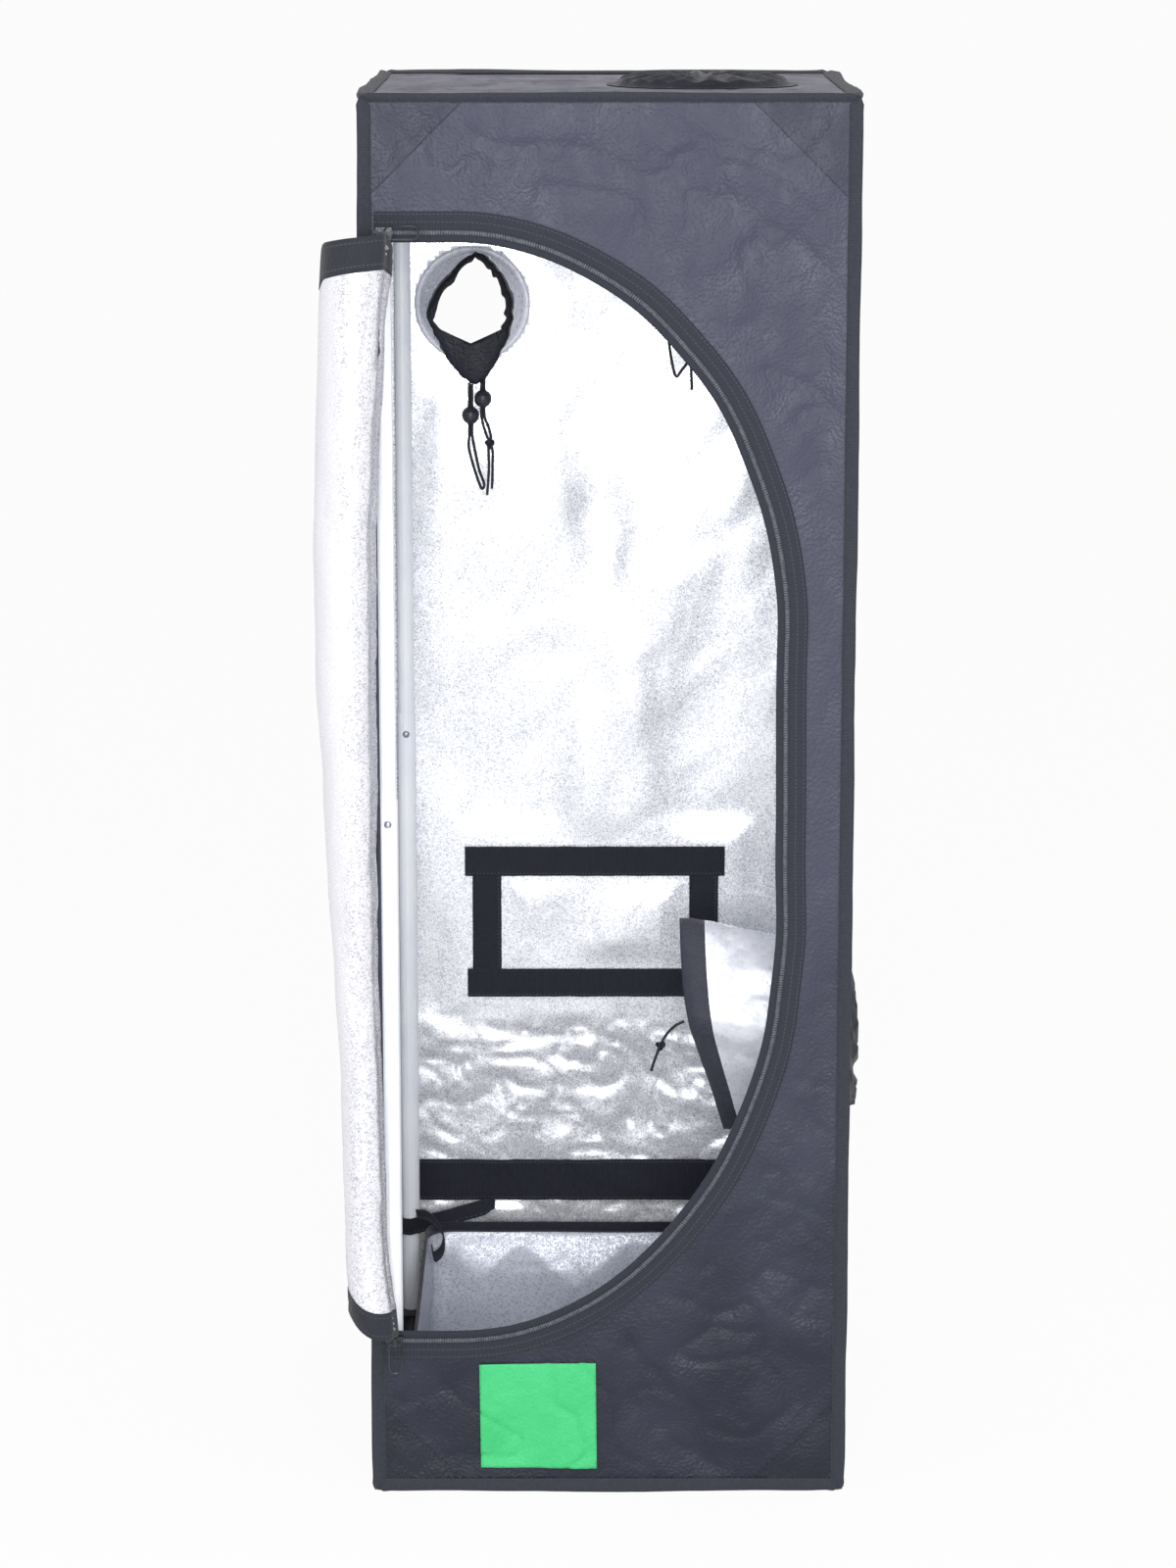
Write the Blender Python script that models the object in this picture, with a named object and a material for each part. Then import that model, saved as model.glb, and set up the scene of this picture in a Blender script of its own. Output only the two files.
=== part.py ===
"""Indoor grow tent: a sewn cover on a plug-together frame, with its curved door rolled open.

The origin is the middle of the floor's underside. +Z is up and the door faces -Y.
"""

from math import cos, exp, pi, radians, sin

import bmesh
import bpy
from mathutils import Matrix, Vector

# Cover
COVER_SIDE = 0.400
COVER_HEIGHT = 1.190
FABRIC = 0.0012
GAP = 0.0003
CUT_OVERRUN = 0.010
BINDING_LEG = 0.009
BINDING_THICKNESS = 0.003
BINDING_EDGE_RADIUS = 0.002
BINDING_EDGE_STEPS = 2
BINDING_LIFT = 0.0005

# Frame
HUB_SIDE = 0.027
HUB_EDGE_RADIUS = 0.004
HUB_EDGE_STEPS = 1
RAIL_DIAMETER = 0.016
RAIL_WALL = 0.0008
SPIGOT_LENGTH = 0.026
LOWER_POLE_DIAMETER = 0.017
POLE_WALL = 0.0006
JOINT_HEIGHT = 0.609
JOINT_OVERLAP = 0.050
BUTTON_DROP = 0.020
BUTTON_DIAMETER = 0.006
BUTTON_PROUD = 0.0015
BUTTON_FOOT_DIAMETER = 0.008
BUTTON_FOOT_THICKNESS = 0.001
BUTTON_FOOT_DEPTH = 0.0035
BUTTON_SIDES = 10
BAR_FROM_CENTRE = 0.110
BAR_HOOK_WIDTH = 0.020
BAR_HOOK_THICKNESS = 0.0025
BAR_HOOK_STEPS = 9
BAR_HOOK_START_TURN = radians(-100)
BAR_HOOK_END_TURN = radians(130)
TUBE_SIDES = 16

# Door opening, measured along the line of its zip
ZIP_TOP_INSET = 0.108
ZIP_SILL = 0.137
ZIP_RIGHT_INSET = 0.053
ZIP_ARC_WIDTH = 0.277
ZIP_UPPER_ARC = 0.332
ZIP_LOWER_ARC = 0.363
ZIP_ARC_STEPS = 14
TAPE_INNER = 0.008
TAPE_OUTER = 0.017
TAPE_THICKNESS = 0.0008
CHAIN_WIDTH = 0.0044
CHAIN_HEIGHT = 0.0016
CHAIN_CREST_SHARE = 0.55

# Sliders and pulls
SLIDER_LENGTH = 0.013
SLIDER_WIDTH = 0.009
SLIDER_PLATE = 0.0014
SLIDER_CLEARANCE = 0.0004
SLIDER_FROM_END = 0.0015
BRIDGE_OPENING = 0.0026
BRIDGE_BAR = 0.0012
BRIDGE_WIDTH = 0.0034
BRIDGE_LENGTH = 0.008
PULL_BAR = 0.0018
PULL_LENGTH = 0.030
PULL_WIDTH = 0.0125
PULL_SIDES = 6
PULL_END_STEPS = 5

# Rolled-up door
HINGE_OUT = 0.00335
DOOR_SHEET = 0.0012
DOOR_SHEET_BITE = 0.004
ROLL_RADIUS = 0.0293
ROLL_STANDOFF = 0.0034
ROLL_TOP_CLEARANCE = 0.0075
ROLL_SILL_CLEARANCE = 0.0150
ROLL_SPIRAL_STEP = 0.0014
ROLL_SPIRAL_TURN = radians(52)
ROLL_SIDES = 24
ROLL_LEVELS = 18
ROLL_CORNER_LIFT = 0.034
ROLL_CORNER_POWER = 3
ROLL_LIFT_FADE = 0.060
ROLL_PINCH_DEPTH = 0.0045
ROLL_PINCH_HEIGHT = 0.026
ROLL_PINCH_TURN = radians(34)
DOOR_TAPE_HEIGHT = 0.024
DOOR_TAPE_THICKNESS = 0.0011
# Height share, radius share and lean towards the left in degrees
ROLL_STATION_SHARES = (
    (0.00, 0.72, 7.4),
    (0.10, 0.62, -6.3),
    (0.24, 0.60, -13.3),
    (0.34, 0.65, -19.7),
    (0.42, 0.72, -23.4),
    (0.52, 0.76, -25.0),
    (0.62, 0.85, -27.0),
    (0.73, 0.88, -25.6),
    (0.81, 0.90, -19.6),
    (0.92, 0.94, -8.0),
    (1.00, 1.00, 1.0),
)
# Height share and turn from straight ahead, in degrees, of each pinched fold
ROLL_PINCH_SHARES = ((0.775, -25.0), (0.395, -35.0), (0.330, 20.0))

# Duct ports and sleeves
BACK_PORT_DIAMETER = 0.100
BACK_PORT_INSET = 0.078
BACK_PORT_DROP = 0.206
BACK_SLEEVE_LENGTH = 0.066
SIDE_PORT_DIAMETER = 0.150
SIDE_PORT_HEIGHT = 0.365
SIDE_PORT_FORWARD = 0.015
SIDE_SLEEVE_LENGTH = 0.138
ROOF_PORT_DIAMETER = 0.150
ROOF_PORT_INSET = 0.120
ROOF_SLEEVE_LENGTH = 0.112
SLEEVE_LIP = 0.002
FLANGE_WIDTH = 0.006
HEM_WIDTH = 0.016
HEM_EXTRA = 0.0010
SLEEVE_SIDES = 32
SLEEVE_GATHERS = 8
SLEEVE_GATHER_DEPTH = 0.0012
# Mouth outlines: across and up as shares of the port's radius, outward as a share of the length
BACK_MOUTH_SHARES = (
    (0.00, 1.02, 1.00),
    (0.46, 0.76, 1.00),
    (0.74, 0.10, 1.00),
    (0.62, -0.56, 1.00),
    (0.26, -1.235, 1.00),
    (-0.08, -1.235, 1.00),
    (-0.58, -0.56, 1.00),
    (-0.76, 0.05, 1.00),
)
SIDE_MOUTH_SHARES = (
    (0.07, 1.33, 1.00),
    (0.42, 0.76, 0.98),
    (0.55, 0.12, 0.93),
    (0.42, -0.58, 0.81),
    (0.04, -1.35, 0.70),
    (-0.38, -0.53, 0.83),
    (-0.57, 0.20, 0.95),
    (-0.38, 0.78, 0.99),
)
ROOF_MOUTH_SHARES = (
    (-0.19, 0.32, 1.00),
    (0.06, 0.24, 1.00),
    (0.16, 0.00, 1.00),
    (0.06, -0.24, 1.00),
    (-0.19, -0.32, 1.00),
    (-0.44, -0.24, 1.00),
    (-0.54, 0.00, 1.00),
    (-0.44, 0.24, 1.00),
)
# How far along the sleeve each ring lies, and how far its shape has turned into the mouth's
SLEEVE_RING_SHARES = ((0.03, 0.00), (0.25, 0.22), (0.50, 0.50), (0.76, 0.80))

# Outer sleeves, drawn shut
ROSETTE_SIDES = 32
ROSETTE_GATHERS = 8
SIDE_ROSETTE_BULGE = 0.020
SIDE_ROSETTE_SAG = 0.030
ROOF_ROSETTE_BULGE = 0.009
ROOF_ROSETTE_SAG = 0.012
ROSETTE_PLEAT = 0.0020
# Radius share, bulge share, sag share and pleat share of each ring
ROSETTE_RING_SHARES = (
    (0.97, 0.24, 0.00, 0.00),
    (0.92, 0.62, 0.15, 0.50),
    (0.72, 0.93, 0.60, 1.00),
    (0.46, 1.00, 0.90, 1.00),
    (0.20, 0.80, 1.00, 0.40),
)

# Vent window and its flap
WINDOW_LEFT_INSET = 0.100
WINDOW_RIGHT_INSET = 0.120
WINDOW_SILL = 0.358
WINDOW_HEIGHT = 0.090
MESH_OVERLAP = 0.008
MESH_THICKNESS = 0.0006
FLAP_LAP = 0.025
FLAP_THICKNESS = 0.001
STRIP_WIDTH = 0.028
STRIP_THICKNESS = 0.0012
STRIP_OVERHANG = 0.005

# Webbing band on the back panel
BAND_HEIGHT = 0.132
BAND_WIDTH = 0.040
BAND_THICKNESS = 0.0014

# Spill tray
TRAY_CLEARANCE = 0.0015
TRAY_HEIGHT = 0.118
TRAY_CORNER_RADIUS = 0.022
TRAY_CORNER_STEPS = 4
TRAY_SIDE_STEPS = 6
TRAY_WAVE = 0.0030
TRAY_RIM_HEIGHT = 0.010
TRAY_RIM_THICKNESS = 0.0008
TRAY_LEVEL_SHARES = (0.0, 0.33, 0.66)
STRAP_WIDTH = 0.016
STRAP_HEIGHT = 0.104
STRAP_THICKNESS = 0.0014
STRAP_POLE_CLEARANCE = 0.0004
STRAP_TAIL_LENGTH = 0.080
STRAP_TAIL_RISE = 0.024
STRAP_RING_STEPS = 14
STRAP_TAIL_STEPS = 6
STRAP_RING_TURN = radians(300)

# Drawstrings and their ball locks
CORD_DIAMETER = 0.0022
CORD_STEP_DIAMETERS = 3
CORD_BEVEL_RESOLUTION = 2
STRAND_SPACING = 0.0026
STRAND_CLEARANCE = 0.0005
LOCK_DIAMETER = 0.016
LOCK_BORE_DIAMETER = 0.0100
LOCK_FRONT_WALL = 0.0025
LOCK_SIDES = 16
LOCK_RINGS = 8
PLUNGER_DIAMETER = 0.0092
PLUNGER_PROUD = 0.0028
PLUNGER_TRAVEL = 0.0024
PLUNGER_WEB = 0.0012
LOCK_OUTWARD = 0.0585
LOCK_A_ACROSS = -0.0005
LOCK_A_DROP = 0.0940
LOCK_B_ACROSS = 0.0106
LOCK_B_DROP = 0.0790

# Cord routes: across, outward and up from the middle of their port on the cover's inner face
BACK_CORD_A_ROUTE = (
    (-0.0018, 0.0585, -0.0644),
    (-0.0018, 0.0585, -0.0820),
    (-0.0018, 0.0585, -0.0980),
    (-0.0018, 0.0585, -0.1120),
    (-0.0024, 0.0585, -0.1230),
    (0.0018, 0.0585, -0.1400),
    (0.0070, 0.0585, -0.1560),
    (0.0094, 0.0585, -0.1606),
    (0.0113, 0.0585, -0.1562),
    (0.0070, 0.0585, -0.1440),
    (0.0038, 0.0585, -0.1290),
    (0.0008, 0.0585, -0.1120),
    (0.0008, 0.0585, -0.0980),
    (0.0008, 0.0585, -0.0820),
    (0.0008, 0.0585, -0.0658),
)
BACK_CORD_B_ROUTE = (
    (0.0093, 0.0585, -0.0636),
    (0.0093, 0.0585, -0.0810),
    (0.0093, 0.0585, -0.0950),
    (0.0114, 0.0585, -0.1050),
    (0.0140, 0.0585, -0.1130),
    (0.0162, 0.0585, -0.1168),
    (0.0176, 0.0585, -0.1130),
    (0.0152, 0.0585, -0.1040),
    (0.0119, 0.0585, -0.0950),
    (0.0119, 0.0585, -0.0810),
    (0.0119, 0.0585, -0.0614),
)
BACK_CORD_TAILS_ROUTE = (
    (0.0139, 0.0585, -0.1665),
    (0.0150, 0.0585, -0.1530),
    (0.0157, 0.0585, -0.1400),
    (0.0154, 0.0585, -0.1270),
    (0.0165, 0.0585, -0.1193),
    (0.0191, 0.0585, -0.1270),
    (0.0189, 0.0585, -0.1400),
    (0.0187, 0.0585, -0.1520),
    (0.0182, 0.0585, -0.1605),
)
SIDE_CORD_ROUTE = (
    (-0.0412, 0.1318, 0.0150),
    (-0.0400, 0.1400, 0.0100),
    (-0.0380, 0.1476, 0.0010),
    (-0.0370, 0.1530, -0.0100),
    (-0.0362, 0.1580, -0.0240),
    (-0.0360, 0.1602, -0.0320),
)
ROOF_CORD_LOOP_ROUTE = (
    (-0.0395, 0.1123, 0.0000),
    (-0.0340, 0.1500, 0.0000),
    (-0.0293, 0.2015, 0.0000),
    (-0.0258, 0.2290, 0.0000),
    (-0.0215, 0.2468, 0.0000),
    (-0.0165, 0.2420, 0.0000),
    (-0.0110, 0.2340, 0.0000),
    (-0.0073, 0.2219, 0.0000),
    (-0.0020, 0.1950, 0.0000),
    (0.0060, 0.1500, 0.0000),
    (0.0110, 0.1123, 0.0000),
)
ROOF_CORD_END_ROUTE = (
    (0.0045, 0.1123, -0.0158),
    (0.0030, 0.1500, -0.0180),
    (0.0005, 0.2000, -0.0190),
    (0.0013, 0.2329, -0.0190),
    (0.0039, 0.2566, -0.0190),
)

# Colours, roughness and metallic value of each finish
FINISHES = {
    "outer_cloth": ((0.102, 0.106, 0.141, 1), 0.62, 0.0),
    "edge_tape": ((0.035, 0.037, 0.052, 1), 0.75, 0.0),
    "webbing": ((0.021, 0.026, 0.036, 1), 0.85, 0.0),
    "zip_coil": ((0.060, 0.062, 0.075, 1), 0.40, 0.0),
    "zip_metal": ((0.030, 0.031, 0.036, 1), 0.35, 0.8),
    "mirror_cloth": ((0.720, 0.730, 0.750, 1), 0.35, 0.6),
    "grey_cloth": ((0.420, 0.430, 0.450, 1), 0.45, 0.3),
    "net": ((0.030, 0.030, 0.034, 1), 0.80, 0.0),
    "powder_coat": ((0.780, 0.860, 0.980, 1), 0.30, 0.0),
    "moulding": ((0.040, 0.042, 0.048, 1), 0.45, 0.0),
    "steel": ((0.560, 0.570, 0.580, 1), 0.30, 1.0),
    "cord": ((0.012, 0.013, 0.024, 1), 0.80, 0.0),
}

# Derived places
HALF = COVER_SIDE / 2
INSIDE = HALF - FABRIC
HUB_HALF = HUB_SIDE / 2
AXIS = INSIDE - GAP - HUB_HALF
BASE_LEVEL = FABRIC + GAP + HUB_HALF
TOP_LEVEL = COVER_HEIGHT - BASE_LEVEL
BUTTON_LEVEL = JOINT_HEIGHT - BUTTON_DROP
ZIP_TOP = COVER_HEIGHT - ZIP_TOP_INSET
ZIP_RIGHT = HALF - ZIP_RIGHT_INSET
ZIP_LEFT = BINDING_LEG + GAP - HALF
FRONT_FACE = -HALF - GAP
CHAIN_BACK = FRONT_FACE - TAPE_THICKNESS - GAP
CHAIN_FRONT = CHAIN_BACK - CHAIN_HEIGHT
HINGE = Vector((-HALF - HINGE_OUT, -HALF - HINGE_OUT, 0))
ROLL_TOP = ZIP_TOP - ROLL_TOP_CLEARANCE - DOOR_TAPE_THICKNESS - GAP
ROLL_BOTTOM = ZIP_SILL + ROLL_SILL_CLEARANCE + DOOR_TAPE_THICKNESS + GAP
SIDES = {"left": -1, "right": 1}
ENDS = {"front": -1, "back": 1}
WORLD_X = Vector((1, 0, 0))
WORLD_Y = Vector((0, 1, 0))
WORLD_Z = Vector((0, 0, 1))


def clear_scene():
    """Remove every object of the opened scene."""
    for thing in list(bpy.data.objects):
        bpy.data.objects.remove(thing, do_unlink=True)


def give_finish(thing, finish):
    """Give an object a material of its own."""
    colour, roughness, metallic = FINISHES[finish]
    made = bpy.data.materials.new(thing.name)
    made.use_nodes = True
    shader = made.node_tree.nodes["Principled BSDF"]
    shader.inputs["Base Color"].default_value = colour
    shader.inputs["Roughness"].default_value = roughness
    shader.inputs["Metallic"].default_value = metallic
    thing.data.materials.append(made)


def add_object(name, mesh_maker, finish, origin=None, parent=None, smooth=True):
    """Turn a bmesh in world places into an object whose origin lies at the given point."""
    bmesh.ops.recalc_face_normals(mesh_maker, faces=mesh_maker.faces)
    mesh = bpy.data.meshes.new(name)
    mesh_maker.to_mesh(mesh)
    mesh_maker.free()
    place = Vector(origin) if origin is not None else Vector()
    mesh.transform(Matrix.Translation(-place))
    if smooth:
        mesh.shade_smooth()
        mesh.set_sharp_from_angle(angle=radians(40))
    thing = bpy.data.objects.new(name, mesh)
    thing.location = place
    bpy.context.scene.collection.objects.link(thing)
    if parent is not None:
        thing.parent = parent
        thing.location = place - parent.location
    give_finish(thing, finish)
    return thing


def add_pivot(name, place):
    """An empty that a moving group hangs from."""
    pivot = bpy.data.objects.new(name, None)
    pivot.location = place
    bpy.context.scene.collection.objects.link(pivot)
    return pivot


def apply_boolean(thing, tool, operation):
    """Cut a tool from an object, or join it on, and keep the tool out of the model."""
    tool.hide_render = True
    tool.display_type = "WIRE"
    modifier = thing.modifiers.new(tool.name, "BOOLEAN")
    modifier.operation = operation
    modifier.object = tool


def loft(rings, closed=False):
    """Skin a list of rings. The ends are joined to each other, or closed by a fan to their middle."""
    made = bmesh.new()
    loops = [[made.verts.new(point) for point in ring] for ring in rings]
    pairs = list(zip(loops, loops[1:]))
    if closed:
        pairs.append((loops[-1], loops[0]))
    count = len(loops[0])
    for first, second in pairs:
        for k in range(count):
            after = (k + 1) % count
            made.faces.new((first[k], first[after], second[after], second[k]))
    if not closed:
        for loop in (loops[0], loops[-1]):
            middle = made.verts.new(sum((vert.co for vert in loop), Vector()) / count)
            for k in range(count):
                made.faces.new((loop[k], loop[(k + 1) % count], middle))
    bmesh.ops.triangulate(made, faces=made.faces[:], quad_method="FIXED")
    return made


def cuboid(low, high):
    """A box between two corners."""
    made = bmesh.new()
    low = Vector(low)
    high = Vector(high)
    size = high - low
    bmesh.ops.create_cube(made, size=1)
    bmesh.ops.scale(made, vec=size, verts=made.verts)
    bmesh.ops.translate(made, vec=(low + high) / 2, verts=made.verts)
    return made


def rounded_cuboid(low, high, radius, steps):
    """A box with rounded edges."""
    made = cuboid(low, high)
    bmesh.ops.bevel(made, geom=made.edges[:], offset=radius, segments=steps, profile=0.5, affect="EDGES")
    return made


def circle(centre, axis, radius, sides):
    """Points of a circle round a world axis, with the same start for every circle on that axis."""
    across = WORLD_Y if axis is WORLD_X else WORLD_X
    other = axis.cross(across)
    turns = [2 * pi * (k + 0.5) / sides for k in range(sides)]
    return [Vector(centre) + (across * cos(t) + other * sin(t)) * radius for t in turns]


def rod(start, end, axis, diameter, sides=TUBE_SIDES):
    """A solid round bar."""
    return loft([circle(place, axis, diameter / 2, sides) for place in (start, end)])


def tube(start, end, axis, diameter, wall, sides=TUBE_SIDES):
    """A round tube with open ends."""
    outer = diameter / 2
    inner = outer - wall
    rings = [
        circle(start, axis, outer, sides),
        circle(end, axis, outer, sides),
        circle(end, axis, inner, sides),
        circle(start, axis, inner, sides),
    ]
    return loft(rings, closed=True)


def closed_curve(points, count):
    """Evenly stepped points of the smooth closed curve through the given ones."""
    found = []
    for k in range(count):
        place = k * len(points) / count
        base = int(place)
        t = place - base
        p0, p1, p2, p3 = (points[(base + step) % len(points)] for step in (-1, 0, 1, 2))
        found.append(spline_point(p0, p1, p2, p3, t))
    return found


def spline_point(p0, p1, p2, p3, t):
    """A point of the curve that passes from p1 to p2, smooth with its neighbours."""
    bend = (p0 * -1 + p1 * 3 - p2 * 3 + p3) * t * t * t
    sweep = (p0 * 2 - p1 * 5 + p2 * 4 - p3) * t * t
    return (p1 * 2 + (p2 - p0) * t + sweep + bend) / 2


def cord_points(route):
    """Points of the smooth curve through a cord's route, one every few diameters."""
    before = route[0] + (route[0] - route[1])
    beyond = route[-1] + (route[-1] - route[-2])
    ends = [before] + list(route) + [beyond]
    spacing = CORD_DIAMETER * CORD_STEP_DIAMETERS
    found = []
    for p0, p1, p2, p3 in zip(ends, ends[1:], ends[2:], ends[3:]):
        steps = max(1, round((p2 - p1).length / spacing))
        found += [spline_point(p0, p1, p2, p3, k / steps) for k in range(steps)]
    return found + [route[-1]]


class Port:
    """The middle of a round opening in a cover panel, with its across, outward and up directions."""

    def __init__(self, centre, across, outward, up, diameter):
        self.centre = Vector(centre)
        self.across = across
        self.outward = outward
        self.up = up
        self.radius = diameter / 2

    def place(self, across, outward, up):
        """The world point at these distances from the middle."""
        return self.centre + self.across * across + self.outward * outward + self.up * up


def make_ports():
    """The three ports, on the inner face of their panels."""
    roof_inner = COVER_HEIGHT - FABRIC
    back = (BACK_PORT_INSET - HALF, INSIDE, COVER_HEIGHT - BACK_PORT_DROP)
    side = (INSIDE, -SIDE_PORT_FORWARD, SIDE_PORT_HEIGHT)
    roof = (HALF - ROOF_PORT_INSET, 0, roof_inner)
    return {
        "back": Port(back, WORLD_X, -WORLD_Y, WORLD_Z, BACK_PORT_DIAMETER),
        "side": Port(side, WORLD_Y, -WORLD_X, WORLD_Z, SIDE_PORT_DIAMETER),
        "roof": Port(roof, WORLD_X, -WORLD_Z, WORLD_Y, ROOF_PORT_DIAMETER),
    }


def cut_port(panel, port, name):
    """Cut a port's round hole through its panel."""
    back = port.centre - port.outward * (FABRIC + CUT_OVERRUN)
    front = port.centre + port.outward * CUT_OVERRUN
    axis = Vector([abs(value) for value in port.outward])
    named_axis = {(1, 0, 0): WORLD_X, (0, 1, 0): WORLD_Y, (0, 0, 1): WORLD_Z}[tuple(axis)]
    hole = rod(back, front, named_axis, 2 * port.radius, SLEEVE_SIDES)
    apply_boolean(panel, add_object(name, hole, "net"), "DIFFERENCE")


def zip_line(offset):
    """Points in X and Z along the door's zip, from its upper to its lower end, moved outward."""
    middle = ZIP_RIGHT - ZIP_ARC_WIDTH
    across = ZIP_ARC_WIDTH + offset
    quarter = [pi / 2 * step / ZIP_ARC_STEPS for step in range(ZIP_ARC_STEPS + 1)]
    upper_centre = ZIP_TOP - ZIP_UPPER_ARC
    lower_centre = ZIP_SILL + ZIP_LOWER_ARC
    points = [(ZIP_LEFT, ZIP_TOP + offset)]
    for turn in quarter:
        rise = (ZIP_UPPER_ARC + offset) * cos(turn)
        points.append((middle + across * sin(turn), upper_centre + rise))
    for turn in quarter:
        drop = (ZIP_LOWER_ARC + offset) * sin(turn)
        points.append((middle + across * cos(turn), lower_centre - drop))
    points.append((ZIP_LEFT, ZIP_SILL - offset))
    return points


def sweep_along_zip(profile):
    """Carry a profile of offsets and depths round the door opening."""
    lines = [[(x, depth, z) for x, z in zip_line(offset)] for offset, depth in profile]
    return loft([[Vector(point) for point in station] for station in zip(*lines)])


def build_cover(ports):
    """The six sewn panels and the tape that binds their edges."""
    wall_low = FABRIC + GAP
    wall_high = COVER_HEIGHT - FABRIC - GAP
    side_end = INSIDE - GAP
    add_object("cover_floor", cuboid((-HALF, -HALF, 0), (HALF, HALF, FABRIC)), "outer_cloth")
    roof = cuboid((-HALF, -HALF, COVER_HEIGHT - FABRIC), (HALF, HALF, COVER_HEIGHT))
    cut_port(add_object("cover_roof", roof, "outer_cloth"), ports["roof"], "roof_port_cutter")
    back = cuboid((-HALF, INSIDE, wall_low), (HALF, HALF, wall_high))
    back_panel = add_object("cover_back", back, "outer_cloth")
    cut_port(back_panel, ports["back"], "back_port_cutter")
    window_low, window_high = window_corners()
    window = cuboid(
        (window_low.x, INSIDE - CUT_OVERRUN, window_low.z),
        (window_high.x, HALF + CUT_OVERRUN, window_high.z),
    )
    apply_boolean(back_panel, add_object("window_cutter", window, "net"), "DIFFERENCE")
    for name, sign in SIDES.items():
        faces = sorted((sign * INSIDE, sign * HALF))
        panel = cuboid((faces[0], -side_end, wall_low), (faces[1], side_end, wall_high))
        made = add_object("cover_" + name, panel, "outer_cloth")
        if name == "right":
            cut_port(made, ports["side"], "side_port_cutter")
    front = cuboid((-HALF, -HALF, wall_low), (HALF, -INSIDE, wall_high))
    front_panel = add_object("cover_front", front, "outer_cloth")
    outline = [
        [Vector((x, y, z)) for x, z in zip_line(-TAPE_INNER)]
        for y in (-HALF - CUT_OVERRUN, -INSIDE + CUT_OVERRUN)
    ]
    apply_boolean(front_panel, add_object("door_cutter", loft(outline), "net"), "DIFFERENCE")
    build_binding()


def build_binding():
    """Tape folded over the twelve edges, left open where the cover's faces show."""
    skin = HALF + GAP
    shell = skin + BINDING_THICKNESS
    window = HALF - BINDING_LEG
    beyond = shell + CUT_OVERRUN
    top = COVER_HEIGHT + GAP
    low_corner = (-shell, -shell, BINDING_LIFT)
    high_corner = (shell, shell, top + BINDING_THICKNESS)
    block = rounded_cuboid(low_corner, high_corner, BINDING_EDGE_RADIUS, BINDING_EDGE_STEPS)
    binding = add_object("edge_binding", block, "edge_tape")
    low = BINDING_LEG
    high = COVER_HEIGHT - BINDING_LEG
    cutters = {
        "binding_hollow": ((-skin, -skin, -CUT_OVERRUN), (skin, skin, top)),
        "binding_sides": ((-beyond, -window, low), (beyond, window, high)),
        "binding_ends": ((-window, -beyond, low), (window, beyond, high)),
        "binding_roof": ((-window, -window, high), (window, window, top + beyond)),
    }
    for name, (corner, far_corner) in cutters.items():
        cutter = add_object(name, cuboid(corner, far_corner), "net")
        apply_boolean(binding, cutter, "DIFFERENCE")


def window_corners():
    """Low and high corners of the vent window, in X and Z."""
    low = Vector((WINDOW_LEFT_INSET - HALF, 0, WINDOW_SILL))
    high = Vector((HALF - WINDOW_RIGHT_INSET, 0, WINDOW_SILL + WINDOW_HEIGHT))
    return low, high


def build_side_frame(name, sign, level, upward, pole_bore):
    """A side rail with a corner hub at each end, and the spigots that the other tubes plug onto."""
    x = sign * AXIS
    ends = [Vector((x, y, level)) for y in (-AXIS, AXIS)]
    rail = add_object(name, rod(ends[0], ends[1], WORLD_Y, RAIL_DIAMETER), "moulding")
    rail_spigot = RAIL_DIAMETER - 2 * RAIL_WALL - 2 * GAP
    pole_spigot = pole_bore - 2 * GAP
    for end_name, centre in zip(ENDS, ends):
        reach = Vector((HUB_HALF, HUB_HALF, HUB_HALF))
        hub = rounded_cuboid(centre - reach, centre + reach, HUB_EDGE_RADIUS, HUB_EDGE_STEPS)
        tip = centre - WORLD_X * sign * (HUB_HALF + SPIGOT_LENGTH)
        rise = centre + WORLD_Z * upward * (HUB_HALF + SPIGOT_LENGTH)
        pieces = {
            "hub": hub,
            "rail_spigot": rod(centre, tip, WORLD_X, rail_spigot),
            "pole_spigot": rod(centre, rise, WORLD_Z, pole_spigot),
        }
        for piece_name, piece in pieces.items():
            helper = add_object("_".join((name, end_name, piece_name)), piece, "moulding")
            apply_boolean(rail, helper, "UNION")


def build_frame():
    """Base and top frames, uprights in two sections, their snap buttons and the hanging bars."""
    lower_bore = LOWER_POLE_DIAMETER - 2 * POLE_WALL
    upper_diameter = lower_bore - 2 * GAP
    upper_bore = upper_diameter - 2 * POLE_WALL
    rail_reach = AXIS - HUB_HALF - GAP
    for name, sign in SIDES.items():
        build_side_frame("base_side_" + name, sign, BASE_LEVEL, 1, lower_bore)
        build_side_frame("top_side_" + name, sign, TOP_LEVEL, -1, upper_bore)
    for name, sign in ENDS.items():
        for prefix, level in (("base_rail_", BASE_LEVEL), ("top_rail_", TOP_LEVEL)):
            start = Vector((-rail_reach, sign * AXIS, level))
            end = Vector((rail_reach, sign * AXIS, level))
            add_object(prefix + name, tube(start, end, WORLD_X, RAIL_DIAMETER, RAIL_WALL), "powder_coat")
        build_hanging_bar("hanging_bar_" + name, sign * BAR_FROM_CENTRE)
    for end_name, end_sign in ENDS.items():
        for side_name, side_sign in SIDES.items():
            foot = Vector((side_sign * AXIS, end_sign * AXIS, 0))
            corner = end_name + "_" + side_name
            build_upright(corner, foot, upper_diameter)
            build_button(corner, foot, upper_bore)


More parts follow.
